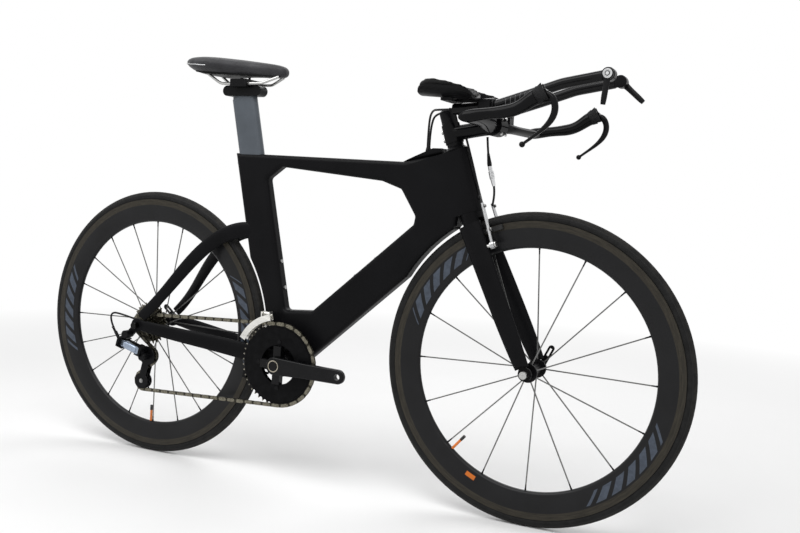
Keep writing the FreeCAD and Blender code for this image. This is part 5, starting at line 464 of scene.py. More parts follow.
def ring_finish(name):
    """Black chainrings whose tooth tips are worn to bare metal."""
    black, worn = (0.0025, 0.0025, 0.0028, 1), (0.007, 0.007, 0.0076, 1)
    bare = (0.34, 0.32, 0.27, 1)
    f = Finish(name, Specular_IOR_Level=0.05)
    radius = f.polar(CRANK_AXIS)[0]
    tips = f.both(f.span(radius, 0.0955, 0.0975), f.span(f.noise(240.0, 4.0, 0.65), 0.3, 0.6))
    tone = f.noise(60.0, 5.0)
    f.colour(f.mix(tips, f.mix(f.span(tone, 0.3, 0.75), black, worn), bare))
    f.metal(f.both(tips, 0.9))
    f.rough(f.spread(tone, 0.34, 0.48))
    f.bump(f.wave(radius, 0.0006), 0.000015, 0.5)
    return f


def crank_finish(name):
    """Gloss black arm with a turned metal ring round the spindle cap."""
    f = Finish(name, Specular_IOR_Level=0.05, Coat_Weight=0.22, Coat_Roughness=0.08)
    cap = f.within(f.polar(CRANK_AXIS)[0], 0.0128, 0.0011, 0.00015)
    tone = f.noise(30.0, 4.0)
    f.colour(f.mix(cap, f.tones(tone, finish().gloss, 0.8, 1.5), (0.42, 0.38, 0.31, 1)))
    f.metal(f.both(cap, 0.95))
    f.rough(f.spread(tone, 0.2, 0.3))
    f.bump(f.noise(700.0, 1.0), 0.00002, 0.6)
    return f


def brake_finish(name, axle):
    """Bright forged arm; the shoe next to the rim is black rubber."""
    f = Finish(name)
    radius, _angle, across = f.polar(axle)
    shoe = f.both(f.within(f.math("ABSOLUTE", across), 0.0176, 0.0042, 0.0002),
                  f.within(radius, 0.310, 0.0062, 0.0003))
    lines = f.grain((300, 300, 40))
    f.colour(f.mix(shoe, f.tones(lines, finish().alloy, 0.82, 1.05), (0.01, 0.01, 0.01, 1)))
    f.metal(f.span(shoe, 0.0, 1.0, 1.0, 0.0))
    f.rough(f.plus(f.blend(shoe, 0.24, 0.68), f.spread(lines, -0.04, 0.08)))
    f.bump(lines, 0.00003, 0.5)
    return f


def leather_finish(name):
    """Black microfibre leather: pebbled grain, creases, and a softer shine where it is sat on."""
    f = Finish(name, Specular_IOR_Level=0.25, Sheen_Weight=0.08, Sheen_Roughness=0.5)
    crease = f.noise(150.0, 5.0, 0.65)
    worn = f.noise(16.0, 4.0)
    f.colour(f.tones(worn, finish().leather, 0.72, 1.3, 0.35, 0.68))
    f.rough(f.plus(f.spread(worn, 0.6, 0.46), f.spread(crease, -0.05, 0.05)))
    f.bump(f.plus(f.both(f.cells(620.0), 0.7), f.both(crease, 0.5)), 0.0003, 0.5)
    return f


def pad_finish(name):
    """Brushed knit over foam: crossed threads, pilling and a soft sheen."""
    thread = 0.0012
    f = Finish(name, Specular_IOR_Level=0.12, Sheen_Weight=0.1, Sheen_Roughness=0.6)
    x, y, _z = f.parts(f.place)
    knit = f.both(f.wave(x, thread), f.wave(y, thread))
    pile = f.noise(900.0, 4.0, 0.7)
    f.colour(f.tones(f.noise(30.0, 4.0), finish().foam, 0.8, 1.7, 0.35, 0.7))
    f.rough(f.spread(pile, 0.78, 0.92))
    f.bump(f.plus(f.both(knit, 0.6), pile), 0.00035, 0.6)
    return f


def grip_finish(name):
    """Moulded rubber with a fine diamond knurl."""
    knurl = 0.0022
    dark, light = (0.006, 0.006, 0.0066, 1), (0.014, 0.014, 0.0147, 1)
    f = Finish(name, Specular_IOR_Level=0.14)
    x, y, z = f.parts(f.place)
    first = f.wave(f.plus(x, z), knurl)
    second = f.wave(f.minus(f.plus(x, f.both(y, 1.4)), z), knurl)
    tone = f.noise(80.0, 4.0)
    f.colour(f.mix(f.spread(tone), dark, light))
    f.rough(f.spread(tone, 0.5, 0.64))
    f.bump(f.both(first, second), 0.0003, 0.6)
    return f


def extension_finish(name):
    """Gloss carbon with plain length marks on the outer side."""
    step = 0.01
    f = Finish(name, Specular_IOR_Level=0.04, Coat_Weight=0.25, Coat_Roughness=0.08)
    x, y, _z = f.parts(f.place)
    tick = f.within(f.math("WRAP", x, step, 0.0), step / 2, 0.0005, 0.00015)
    run = f.within(x, 0.475, 0.045, 0.0004)
    outer = f.within(f.math("ABSOLUTE", y), 0.0665, 0.0016, 0.0002)
    marks = f.both(f.both(tick, run), outer)
    tone = f.noise(40.0, 4.0)
    f.colour(f.mix(marks, f.tones(tone, finish().gloss, 0.8, 1.6), (0.11, 0.112, 0.115, 1)))
    f.rough(f.spread(tone, 0.2, 0.32))
    f.bump(f.noise(800.0, 1.0), 0.00002, 0.6)
    return f


def housing_finish(name):
    """Black outer casing of a cable: smooth plastic with scuffs."""
    black, scuffed = (0.005, 0.005, 0.0055, 1), (0.016, 0.016, 0.0165, 1)
    f = Finish(name, Specular_IOR_Level=0.18)
    scuff = f.noise(190.0, 5.0, 0.7)
    f.colour(f.mix(f.span(scuff, 0.5, 0.75), black, scuffed))
    f.rough(f.spread(scuff, 0.3, 0.46))
    f.bump(scuff, 0.00004, 0.5)
    return f


def dress(made, *names):
    """Gives a finish to its CAD nodes."""
    for name in names:
        mesh = NODES[name].data
        mesh.materials.clear()
        mesh.materials.append(made.material)


def placed(name, data):
    """A new object in the scene."""
    obj = bpy.data.objects.new(name, data)
    bpy.context.scene.collection.objects.link(obj)
    return obj


def evaluated(obj):
    """The object as its modifiers or its curve make it."""
    return obj.evaluated_get(bpy.context.evaluated_depsgraph_get())


def meshed(name, bm):
    """Mesh from a bmesh, which is freed."""
    mesh = bpy.data.meshes.new(name)
    bm.to_mesh(mesh)
    bm.free()
    return mesh


def piece(name, bm, body, made, sharp=40):
    """A finished mesh piece that rides on a body."""
    bmesh.ops.remove_doubles(bm, verts=bm.verts, dist=1e-6)
    bmesh.ops.recalc_face_normals(bm, faces=bm.faces)
    mesh = meshed(name, bm)
    mesh.shade_smooth()
    mesh.set_sharp_from_angle(angle=math.radians(sharp))
    mesh.materials.append(made.material)
    obj = placed(name, mesh)
    if body:
        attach(obj, body)
    return obj


def scaled(shares, radius, length):
    """A turned profile in metres from one in shares."""
    return [(r * radius, h * length) for r, h in shares]


def turned(bm, profile, at, way, steps):
    """A closed shape turned from a profile that starts and ends on its axis, stood along a way."""
    verts = [bm.verts.new((r, 0, h)) for r, h in profile]
    edges = [bm.edges.new(pair) for pair in zip(verts, verts[1:])]
    bmesh.ops.spin(bm, geom=verts + edges, cent=(0, 0, 0), axis=(0, 0, 1), angle=2 * math.pi,
                   steps=steps, use_merge=True)
    found = dict.fromkeys(v for e in edges for v in e.verts)
    grown = list(found)
    while grown:
        for v in [v for e in grown.pop().link_edges for v in e.verts if v not in found]:
            found[v] = None
            grown.append(v)
    bmesh.ops.remove_doubles(bm, verts=list(found), dist=1e-7)
    lean = Vector(way).to_track_quat("Z", "Y").to_matrix().to_4x4()
    bmesh.ops.transform(bm, matrix=Matrix.Translation(at) @ lean,
                        verts=[v for v in found if v.is_valid])


def turned_piece(name, profile, at, way, steps, body, made, sharp):
    bm = bmesh.new()
    turned(bm, profile, at, way, steps)
    return piece(name, bm, body, made, sharp)


def lofted(rings):
    """A closed skin over rings of points; each ring starts as a circle and takes its own shape."""
    bm = bmesh.new()
    loops = []
    for ring in rings:
        made = bmesh.ops.create_circle(bm, segments=len(ring), radius=1.0)
        for vert, point in zip(made["verts"], ring):
            vert.co = point
        loops.append(made["verts"])
    for pair in zip(loops, loops[1:]):
        edges = [e for loop in pair for e in dict.fromkeys(e for v in loop for e in v.link_edges)
                 if set(e.verts) <= set(loop)]
        bmesh.ops.bridge_loops(bm, edges=edges)
    for loop in (loops[0], loops[-1]):
        bmesh.ops.contextual_create(bm, geom=loop)
    return bm


def oval(count, corner):
    """Points round a square of half size 1 with round corners; corner 1 makes it a circle."""
    points = []
    for step in range(count):
        a = 2 * math.pi * step / count
        c, s = math.cos(a), math.sin(a)
        points.append((math.copysign(abs(c) ** corner, c), math.copysign(abs(s) ** corner, s)))
    return points


def tube(along, radius, steps=12):
    """A round tube along a line of points."""
    ways = [(b - a).normalized() for a, b in zip(along, along[1:])]
    ways.append(ways[-1])
    turns = [2 * math.pi * i / steps for i in range(steps)]
    rings = []
    side = ways[0].orthogonal().normalized()
    for at, way in zip(along, ways):
        side = (side - way * side.dot(way)).normalized()
        up = way.cross(side)
        rings.append([at + (side * math.cos(a) + up * math.sin(a)) * radius for a in turns])
    return lofted(rings)


def bolt(bm, at, way, radius, height):
    """Hexagon head on a round washer."""
    for shares, steps in ((WASHER, 20), (HEX_HEAD, 6)):
        turned(bm, scaled(shares, radius, height), at, way, steps)


def blown_up(obj, held):
    """Blows the object's mesh up as cloth by a little; faces that look down past held stay."""
    mesh, scene, swell = obj.data, bpy.context.scene, sizes().swell
    kept = obj.vertex_groups.new(name="Held")
    kept.add([v.index for v in mesh.vertices if v.normal.z < held], 1.0, "REPLACE")
    cloth = obj.modifiers.new("Cloth", "CLOTH")
    cloth.settings.use_pressure = True
    cloth.settings.uniform_pressure_force = CLOTH_PRESSURE
    cloth.settings.effector_weights.gravity = 0.0
    cloth.settings.vertex_group_mass = kept.name
    cloth.point_cache.frame_start = 1
    cloth.point_cache.frame_end = CLOTH_FRAMES
    for step in range(1, CLOTH_FRAMES + 1):
        scene.frame_set(step)
    blown = [v.co.copy() for v in evaluated(obj).data.vertices]
    obj.modifiers.clear()
    obj.vertex_groups.clear()
    scene.frame_set(1)
    for vert, place in zip(mesh.vertices, blown):
        move = place - vert.co
        vert.co += move * min(1.0, swell / max(move.length, 1e-9))


def padded(name, rings, body, made, node, smooth, held):
    """A stuffed piece in place of a CAD node: skin over rings, even mesh, blown up as cloth."""
    bm = lofted(rings)
    bmesh.ops.subdivide_edges(bm, edges=bm.edges, cuts=1, smooth=smooth, use_grid_fill=True)
    bmesh.ops.recalc_face_normals(bm, faces=bm.faces)
    obj = placed(name, meshed(name + "_start", bm))
    even = obj.modifiers.new("Even mesh", "REMESH")
    even.mode = "VOXEL"
    even.voxel_size = sizes().voxel
    mesh = bpy.data.meshes.new_from_object(evaluated(obj))
    obj.modifiers.clear()
    obj.data = mesh
    mesh.name = name
    bm = bmesh.new()
    bm.from_mesh(mesh)
    for _ in range(4):
        bmesh.ops.smooth_vert(bm, verts=bm.verts, factor=0.5, use_axis_x=True, use_axis_y=True,
                              use_axis_z=True)
    bm.to_mesh(mesh)
    bm.free()
    blown_up(obj, held)
    mesh.materials.clear()
    mesh.materials.append(made.material)
    mesh.shade_smooth()
    fine = obj.modifiers.new("Fine", "SUBSURF")
    fine.levels = fine.render_levels = 1
    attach(obj, body)
    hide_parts(node)
    return obj


def route_points(name, points):
    """Points along the smooth line through a cable's route, read from a curve of no thickness."""
    curve = bpy.data.curves.new(name, "CURVE")
    curve.dimensions = "3D"
    curve.resolution_u = 24
    spline = curve.splines.new("NURBS")
    spline.points.add(len(points) - 1)
    for point, place in zip(spline.points, points):
        point.co = (*place, 1)
    spline.order_u = 3
    spline.use_endpoint_u = True
    line = placed(name, curve)
    along = [v.co.copy() for v in bpy.data.meshes.new_from_object(evaluated(line)).vertices]
    bpy.data.objects.remove(line)
    return along


def housing(name, points, made):
    """Cable housing as a mesh tube on its smooth line, with its points and length."""
    along = route_points(name + "_line", points)
    obj = piece(name, tube(along, sizes().cable), None, made, sharp=60)
    return obj, along, sum((b - a).length for a, b in zip(along, along[1:]))


def ferrule(name, at, way, body, made, length):
    """Turned end cap of a cable housing, with a rolled lip."""
    profile = scaled(FERRULE, sizes().cable, length)
    return turned_piece(name, profile, at, way, 20, body, made, sharp=35)


class BIKE_OT_paint_frame(bpy.types.Operator):
    """Satin carbon, slate post and metal fittings of the frame, fork and seat"""

    bl_idname = "bike.paint_frame"
    bl_label = "Paint frame"

    def execute(self, context):
        c = finish()
        dress(painted("satin_carbon", c.carbon, rough=0.42, specular=0.07),
              "main_frame", "chainstays", "seatstays", "cable_cover", "fork")
        dress(painted("slate_post", c.post, rough=0.4, specular=0.35), "seatpost")
        dress(metal_finish("frame_steel", shade(c.steel, 0.7), rough=0.34, black=REAR_AXLE),
              "frame_hardware")
        dress(metal_finish("bright_steel", c.steel, rough=0.3), "front_axle", "saddle_rails")
        dress(black_alloy("black_fittings", c.gloss),
              "saddle_clamp", "front_derailleur_mount", "rear_derailleur_base")
        dress(painted("moulded_shell", c.gloss, rough=0.5, specular=0.12, peel=0.00006),
              "saddle_shell")
        return {"FINISHED"}


class BIKE_OT_paint_cockpit(bpy.types.Operator):
    """Gloss carbon and anodised metal of the bars, stem, levers and brakes"""

    bl_idname = "bike.paint_cockpit"
    bl_label = "Paint cockpit"

    def execute(self, context):
        c = finish()
        dress(painted("gloss_carbon", c.gloss, rough=0.3, specular=0.0, coat=0.22),
              "base_bar", "stem")
        dress(painted("lever_gloss", c.gloss, rough=0.24, specular=0.03, coat=0.2),
              "brake_lever_left", "brake_lever_right")
        dress(extension_finish("extension_carbon"), "extension_bars")
        dress(black_alloy("anodised_clamps", c.gloss, rough=0.34), "headset_spacers",
              "aerobar_clamps", "shifter_bodies", "front_qr_lever", "rear_qr_lever")
        dress(metal_finish("bolt_steel", c.steel, rough=0.28), "steering_bolts")
        dress(grip_finish("lever_grip"), "brake_lever_bodies")
        dress(painted("lever_plastic", c.gloss, rough=0.36, specular=0.16),
              "shift_lever_left", "shift_lever_right")
        dress(brake_finish("bright_brake", FRONT_AXLE),
              "front_brake_arm_left", "front_brake_arm_right")
        dress(black_alloy("rear_brake_black", c.gloss),
              "rear_brake_arm_left", "rear_brake_arm_right")
        return {"FINISHED"}


class BIKE_OT_paint_wheels(bpy.types.Operator):
    """Rims, tyres, spokes, hubs and valves, with a nipple on each spoke"""

    bl_idname = "bike.paint_wheels"
    bl_label = "Paint wheels"

    def execute(self, context):
        c = finish()
        hub = black_alloy("hub_black", c.gloss, rough=0.3)
        spoke = metal_finish("dark_spokes", shade(c.steel, 0.34), rough=0.4)
        nipple = black_alloy("nipple_black", c.gloss, rough=0.4)
        # Spokes, flanges left and right, crossing angle, middle and half width of the bars, patch
        wheels = (
            ("front", FRONT_AXLE, 16, (0.033, 0.033), 0.0, ((142, 20), (-39, 21)), -116.5),
            ("rear", REAR_AXLE, 20, (0.033, 0.0115), 48.0, ((178, 21), (8, 20)), None))
        for word, axle, count, flanges, cross, groups, patch in wheels:
            dress(rim_finish(word + "_rim_carbon", axle, groups, patch), word + "_rim")
            dress(tyre_finish(word + "_tyre_rubber", axle), word + "_tyre")
            dress(valve_finish(word + "_valve_stem", axle), word + "_valve")
            dress(spoke, word + "_spokes")
            dress(hub, word + "_hub")
            self.nipples(word, axle, count, flanges, cross, nipple)
        return {"FINISHED"}

    def nipples(self, word, axle, count, flanges, cross, made):
        """Spoke nipples where the spokes enter the rim."""
        bm = bmesh.new()
        profile = scaled(NIPPLE, sizes().nipple, NIPPLE_LENGTH)
        for i in range(count):
            angle = 2 * math.pi * i / count
            lean = 0.0
            side = flanges[i % 2] * (-1 if i % 2 else 1)
            if cross and i % 2:
                way = 1 if (i // 2) % 2 else -1
                lean = math.radians(cross) * way
                side += SPOKE_GAP * way
            foot = Vector((math.cos(angle + lean) * SPOKE_FOOT, side,
                           math.sin(angle + lean) * SPOKE_FOOT))
            head = Vector((math.cos(angle), 0, math.sin(angle))) * SPOKE_HEAD
            along = (head - foot).normalized()
            turned(bm, profile, axle + head - along * NIPPLE_LENGTH, along, 8)
        piece(word + "_nipples", bm, word + "_wheel", made)


class BIKE_OT_paint_drive(bpy.types.Operator):
    """Cranks, rings, chain, cassette and derailleurs"""

    bl_idname = "bike.paint_drive"
    bl_label = "Paint drive"

    def execute(self, context):
        c = finish()
        blue_silver, bright = (0.30, 0.35, 0.43), (0.80, 0.79, 0.75)
        dress(crank_finish("gloss_crank"), "crank_arm_right", "crank_arm_left")
        dress(ring_finish("worn_rings"), "chainrings")
        dress(black_alloy("ring_bolts", c.gloss, rough=0.3), "chainring_bolts")
        dress(chain_finish("oiled_chain"), "chain")
        dress(metal_finish("worn_cogs", shade(c.chain, 0.7), rough=0.36, grain=(220, 220, 220),
                           grime=0.6), "cassette")
        dress(metal_finish("blue_silver_link", blue_silver, rough=0.26), "rear_derailleur_link")
        dress(black_alloy("derailleur_black", c.gloss, rough=0.34), "rear_derailleur_inner_link",
              "rear_derailleur_knuckle", "rear_derailleur_cage")
        dress(painted("pulley_plastic", c.gloss, rough=0.5, specular=0.12),
              "guide_pulley", "tension_pulley")
        dress(metal_finish("bright_alloy", bright, rough=0.3, grain=(10, 40, 40)),
              "front_derailleur_link", "front_derailleur_cage")
        return {"FINISHED"}


class BIKE_OT_saddle_cover(bpy.types.Operator):
    """Leather saddle cover, blown up as cloth, with a bright trim round its tail"""

    bl_idname = "bike.saddle_cover"
    bl_label = "Model saddle cover"

    def execute(self, context):
        s = sizes()
        pivot = SADDLE_REAR + Vector((s.saddle_length / 2, 0, 0))
        nose_down = Matrix.Rotation(s.saddle_angle, 4, "Y")
        tilt = Matrix.Translation(pivot) @ nose_down @ Matrix.Translation(-pivot)
        rings = []
        for along, wide, floor, top in SADDLE_SHARES:
            half = s.saddle_width / 2 * wide
            low, high = s.saddle_height * floor, s.saddle_height * top
            ring = []
            for y, z in oval(40, corner=0.72):
                tuck = 1.0 - 0.14 * max(0.0, -z)
                rise = low + (high - low) * (z + 1) / 2
                point = SADDLE_REAR + Vector((s.saddle_length * along, half * y * tuck, rise))
                ring.append(tilt @ point)
            rings.append(ring)
        cover = padded("saddle_leather", rings, "seat", leather_finish("saddle_leather"),
                       "saddle_cover", smooth=0.6, held=-0.35)
        self.trim(cover.data, tilt)
        return {"FINISHED"}

    def trim(self, mesh, tilt):
        """Bright strip round the tail, laid on the leather."""
        s = sizes()
        count, radius, lift = 40, 0.0012, 0.0004
        # Where the strip ends, its reach back from there, half width, height and drop, as shares
        ends, reach, half, height, drop = 0.30, 0.34, 0.52, 0.5, 0.16
        skin = BVHTree.FromPolygons([v.co for v in mesh.vertices],
                                    [f.vertices for f in mesh.polygons])
        line = []
        for step in range(count + 1):
            turn = math.pi * (step / count - 0.5)
            out = abs(math.sin(turn))
            along = ends - reach * math.cos(turn) ** 0.6
            across = math.copysign(out ** 0.7, turn) * s.saddle_width * half
            rise = s.saddle_height * (height - drop * out)
            near = tilt @ (SADDLE_REAR + Vector((s.saddle_length * along, across, rise)))
            at, normal, _face, _off = skin.find_nearest(near)
            line.append(at + normal * lift)
        made = metal_finish("trim_silver", finish().alloy, rough=0.3)
        piece("saddle_trim", tube(line, radius, 8), "seat", made, sharp=60)


class BIKE_OT_arm_pads(bpy.types.Operator):
    """Two covered foam pads in the armrest cups"""

    bl_idname = "bike.arm_pads"
    bl_label = "Model arm pads"

    def execute(self, context):
        s = sizes()
        made = pad_finish("pad_knit")
        for side, word in SIDES:
            spot = Matrix.Translation((PAD_PLACE.x, side * PAD_PLACE.y, PAD_PLACE.z))
            spot = spot @ Matrix.Rotation(PAD_TILT, 4, "Y")
            rings = []
            for along, wide, tall in PAD_SHARES:
                half = s.pad_width / 2 * wide
                ring = []
                for y, z in oval(36, corner=0.6):
                    across = half * y
                    cup = s.cup_radius - math.sqrt(max(s.cup_radius ** 2 - across ** 2, 0.0))
                    rise = PAD_GAP + cup + s.pad_thickness * tall * (z + 1) / 2
                    ring.append(spot @ Vector((s.pad_length * (along - 0.5), across, rise)))
                rings.append(ring)
            padded(f"arm_pad_{word}", rings, "steering", made, "armrest_pads",
                   smooth=0.5, held=-0.4)
        return {"FINISHED"}


class BIKE_OT_cables(bpy.types.Operator):
    """Brake and shift cables with their end caps, adjuster and boots"""

    bl_idname = "bike.cables"
    bl_label = "Model cables"

    def execute(self, context):
        casing = housing_finish("cable_casing")
        caps = black_alloy("cable_caps", finish().gloss, rough=0.34)
        silver = metal_finish("adjuster_silver", shade(finish().alloy, 1.3), rough=0.3)
        brake, along, length = housing("front_brake_housing", FRONT_BRAKE_ROUTE, casing)
        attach(brake, "steering")
        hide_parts("front_brake_cable")
        adjuster = self.sleeve("front_adjuster", along, (ADJUSTER_HIGH, ADJUSTER_LOW), ADJUSTER,
                               24, "aluminium", silver, sharp=30)
        boot = self.sleeve("front_adjuster_boot", along, (ADJUSTER_HIGH, BOOT_HIGH), BOOT,
                           20, "black_alloy", caps, sharp=50)
        for side, word in reversed(SIDES):
            route = [(x, y * side, z) for x, y, z in SHIFT_ROUTE]
            shift, along, length = housing(f"shift_housing_{word}", route, casing)
            cap = ferrule(f"shift_ferrule_{word}", along[0] + CAP_STEP, along[6] - along[0],
                          "steering", caps, length=0.012)
            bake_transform(shift)
            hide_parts("control_cables")
        loop, along, length = housing("rear_shift_housing", REAR_SHIFT_ROUTE, casing)
        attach(loop, "frame")
        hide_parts("rear_shift_cable")
        boot = ferrule("rear_shift_boot", along[0] - CAP_STEP, along[4] - along[0],
                       "frame", caps, length=0.014)
        rear, along, length = housing("rear_brake_housing", REAR_BRAKE_ROUTE, casing)
        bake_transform(rear)
        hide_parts("control_cables")
        self.ports(casing)
        return {"FINISHED"}

    def sleeve(self, name, along, heights, shares, steps, slot, made, sharp):
        """Turned sleeve on the front brake cable, from one height to another."""
        start, end = (min(along, key=lambda p: abs(p.z - z)) for z in heights)
        profile = scaled(shares, sizes().cable, (end - start).length)
        return turned_piece(name, profile, start, end - start, steps, "steering", made, sharp)

    def ports(self, made):
        """Rubber boots where the shift cables and the rear brake cable enter the frame."""
        bm = bmesh.new()
        for side, _word in SIDES:
            at = (SHIFT_PORT.x, side * SHIFT_PORT.y, SHIFT_PORT.z)
            turned(bm, SHIFT_BOOT, at, (0, 0, 1), 20)
        turned(bm, BRAKE_GROMMET, BRAKE_PORT, HEAD_OUT, 20)
        piece("cable_ports", bm, "frame", made, sharp=50)


class BIKE_OT_post_head(bpy.types.Operator):
    """Head of the seatpost, between its slanted end and the saddle clamp"""

    bl_idname = "bike.post_head"
    bl_label = "Model post head"

    def execute(self, context):
        low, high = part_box("seatpost")
        top = Vector((low.x + POST_AHEAD, 0, high.z - POST_BELOW))
        rings = []
        for rise, grow in ((-0.0045, 1.0), (-0.0040, 1.022), (0.0, 1.022)):
            rings.append([top + SEAT_UP * rise + SEAT_FORE * (POST_LONG * grow * u)
                          + Vector((0, POST_WIDE * grow * v, 0)) for u, v in oval(40, corner=1.0)])
        rings.append([Vector((top.x + CLAMP_LONG * u, CLAMP_WIDE * v, CLAMP_FOOT))
                      for u, v in oval(40, corner=0.9)])
        made = painted("slate_head", finish().post, rough=0.4, specular=0.3)
        piece("post_head", lofted(rings), "seat", made, sharp=30)
        return {"FINISHED"}


class BIKE_OT_link_cover(bpy.types.Operator):
    """Crowned blue-silver cover on the rear derailleur's outer link"""

    bl_idname = "bike.link_cover"
    bl_label = "Model link cover"

    def execute(self, context):
        middle = LINK_BASE + LINK_WAY * COVER_AHEAD
        rings = []
        for side, inset in ((0.0830, 0.0), (0.0846, 0.0003), (0.0858, 0.0014), (0.0866, 0.0034),
                            (0.0868, 0.0058)):
            rings.append([middle + LINK_WAY * ((COVER_LONG - inset) * u)
                          + LINK_PIN * ((COVER_TALL - inset) * v) - Vector((0, side, 0))
                          for u, v in oval(36, corner=0.5)])
        made = metal_finish("blue_silver_cover", (0.34, 0.40, 0.50), rough=0.24)
        piece("link_cover", lofted(rings), "rear_derailleur_link", made, sharp=50)
        return {"FINISHED"}


class BIKE_OT_cage_bolts(bpy.types.Operator):
    """Pulley bolt on the outer plate of the rear derailleur's cage"""

    bl_idname = "bike.cage_bolts"
    bl_label = "Model cage bolts"

    def execute(self, context):
        radius, height, sunk = 0.0042, 0.0022, 0.0002
        axle = centre("tension_pulley")
        axle.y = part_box("rear_derailleur_cage")[0].y + sunk
        bm = bmesh.new()
        bolt(bm, axle, (0, -1, 0), radius, height)
        made = metal_finish("cage_bolt_steel", shade(finish().steel, 0.6), rough=0.3)
        piece("cage_bolts", bm, "rear_derailleur_knuckle", made, sharp=30)
        return {"FINISHED"}


class BIKE_OT_shifter_caps(bpy.types.Operator):
    """Turned silver caps on the shifters"""

    bl_idname = "bike.shifter_caps"
    bl_label = "Model shifter caps"

    def execute(self, context):
        made = metal_finish("cap_silver", shade(finish().alloy, 1.2), rough=0.26)
        for side, word in SIDES:
            at = (SHIFTER_HUB.x, SHIFTER_HUB.y * side, SHIFTER_HUB.z)
            turned_piece(f"shifter_cap_{word}", SHIFTER_CAP, at, (0, side, 0), 32, "steering",
                         made, sharp=30)
        return {"FINISHED"}


class BIKE_OT_brake_bolts(bpy.types.Operator):
    """Shoe and cable bolts on the front brake's arms"""

    bl_idname = "bike.brake_bolts"
    bl_label = "Model brake bolts"

    def execute(self, context):
        made = metal_finish("brake_bolt_steel", shade(finish().steel, 0.3), rough=0.32)
        for side, word in SIDES:
            bm = bmesh.new()
            for share, radius, height in ((0.36, 0.0042, 0.0042), (0.92, 0.0034, 0.0040)):
                at = BRAKE_FOOT.lerp(BRAKE_TOP, share) + BRAKE_OUT * BRAKE_FACE
                bolt(bm, (at.x, at.y * side, at.z), BRAKE_OUT, radius, height)
            piece(f"brake_bolts_{word}", bm, "front_brake_arm_" + word, made, sharp=30)
        return {"FINISHED"}


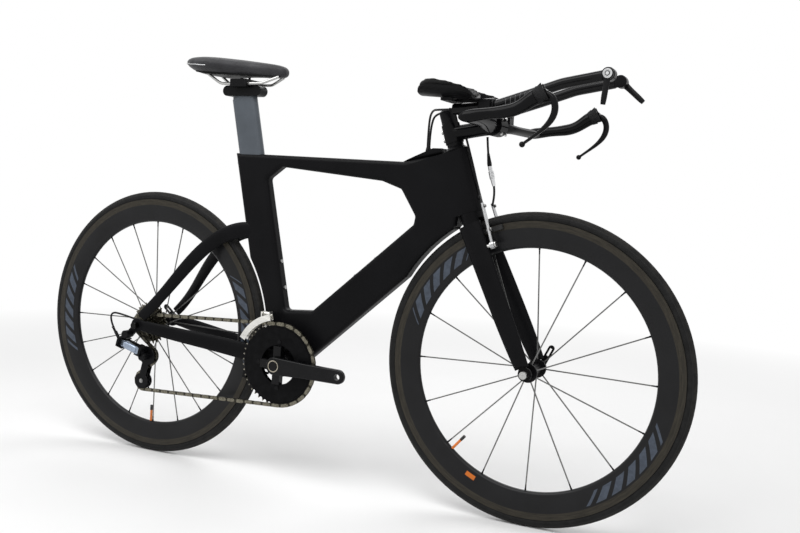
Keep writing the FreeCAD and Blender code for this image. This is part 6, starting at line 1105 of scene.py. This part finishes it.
class BIKE_OT_stage(bpy.types.Operator):
    """Pale floor, soft overhead lamps, white room and the camera"""

    bl_idname = "bike.stage"
    bl_label = "Set stage"

    def execute(self, context):
        scene = context.scene
        studio = scene.bike_studio
        scene.view_settings.view_transform = "Standard"
        self.camera(scene, studio)
        self.world(scene, studio)
        self.floor(studio)
        self.lamps(studio)
        return {"FINISHED"}

    def lamps(self, studio):
        """Square soft lamps: place, aim and width of each."""
        softboxes = (((0.6, -1.4, 2.6), (0.1, 0, 0.5), 1.6),
                     ((-0.9, -1.1, 2.5), (-0.2, 0, 0.5), 1.6),
                     ((0.0, 1.6, 2.4), (0, 0, 0.6), 2.0))
        for i, (at, aim, wide) in enumerate(softboxes):
            lamp = bpy.data.lights.new(f"softbox_{i}", "AREA")
            lamp.energy = studio.lamp
            lamp.shape = "SQUARE"
            lamp.size = wide
            obj = placed(lamp.name, lamp)
            obj.location = at
            obj.rotation_euler = (Vector(aim) - Vector(at)).to_track_quat("-Z", "Y").to_euler()

    def camera(self, scene, studio):
        data = bpy.data.cameras.new("photo_view")
        data.sensor_fit = "HORIZONTAL"
        data.sensor_width = 36.0
        data.lens = studio.lens
        data.clip_start, data.clip_end = 0.05, 100.0
        y, p, r = studio.yaw, studio.pitch, studio.roll
        ahead = Vector((math.cos(p) * math.cos(y), math.cos(p) * math.sin(y), math.sin(p)))
        level = ahead.cross(Vector((0, 0, 1))).normalized()
        below = ahead.cross(level)
        right = level * math.cos(r) + below * math.sin(r)
        down = below * math.cos(r) - level * math.sin(r)
        turn = Matrix((right, -down, -ahead)).transposed()
        scene.camera = placed("photo_view", data)
        scene.camera.matrix_world = Matrix.Translation(studio.camera) @ turn.to_4x4()

    def world(self, scene, studio):
        """White where it is seen, and dimmer as a light on the bike."""
        scene.world = bpy.data.worlds.new("white_room")
        scene.world.use_nodes = True
        room = Nodes(scene.world.node_tree)
        back = room.tree.nodes["Background"].inputs
        back["Color"].default_value = (1, 1, 1, 1)
        room.feed(room.span(room.seen(), 0.0, 1.0, studio.sky, 1.0), back["Strength"])

    def floor(self, studio):
        """Pale floor that turns to the white of the room away from the bike."""
        near_edge, far_edge = 1.1, 3.2
        bm = bmesh.new()
        bmesh.ops.create_grid(bm, x_segments=8, y_segments=8, size=14.0)
        mesh = meshed("floor", bm)
        f = Finish("pale_floor", Roughness=0.9, Specular_IOR_Level=0.1)
        f.colour(f.tones(f.noise(1.5, 3.0), studio.floor, 0.985, 1.015))
        far = f.span(f.vector("LENGTH", f.place, out=1), near_edge, far_edge)
        glow = f.add("Emission", {"Color": (1, 1, 1, 1)})[0]
        shown = f.add("MixShader", {0: f.both(far, f.seen()), 1: f.surface.outputs[0], 2: glow})[0]
        f.feed(shown, f.tree.nodes["Material Output"].inputs["Surface"])
        mesh.materials.append(f.material)
        placed("floor", mesh)


STEPS = (BIKE_OT_stage, BIKE_OT_cables, BIKE_OT_paint_frame, BIKE_OT_paint_cockpit,
         BIKE_OT_paint_wheels, BIKE_OT_paint_drive, BIKE_OT_saddle_cover, BIKE_OT_arm_pads,
         BIKE_OT_post_head, BIKE_OT_link_cover, BIKE_OT_cage_bolts, BIKE_OT_shifter_caps,
         BIKE_OT_brake_bolts)


class BIKE_PT_panel(bpy.types.Panel):
    """Lists the steps and settings of the bike"""

    bl_idname = "BIKE_PT_panel"
    bl_label = "Time trial bike"
    bl_space_type = "VIEW_3D"
    bl_region_type = "UI"
    bl_category = "Bike"

    def draw(self, context):
        scene = context.scene
        for step in STEPS:
            self.layout.operator(step.bl_idname)
        for group in (scene.bike_finish, scene.bike_sizes, scene.bike_studio):
            box = self.layout.box()
            for key in group.__annotations__:
                box.prop(group, key)


CLASSES = (BikeFinish, BikeSizes, BikeStudio, *STEPS, BIKE_PT_panel)


def register():
    for cls in CLASSES:
        bpy.utils.register_class(cls)
    bpy.types.Scene.bike_finish = bpy.props.PointerProperty(type=BikeFinish)
    bpy.types.Scene.bike_sizes = bpy.props.PointerProperty(type=BikeSizes)
    bpy.types.Scene.bike_studio = bpy.props.PointerProperty(type=BikeStudio)


def unregister():
    for name in ("bike_finish", "bike_sizes", "bike_studio"):
        delattr(bpy.types.Scene, name)
    for cls in reversed(CLASSES):
        bpy.utils.unregister_class(cls)


def main():
    register()
    for step in STEPS:
        group, name = step.bl_idname.split(".")
        getattr(getattr(bpy.ops, group), name)()


if __name__ == "__main__":
    main()
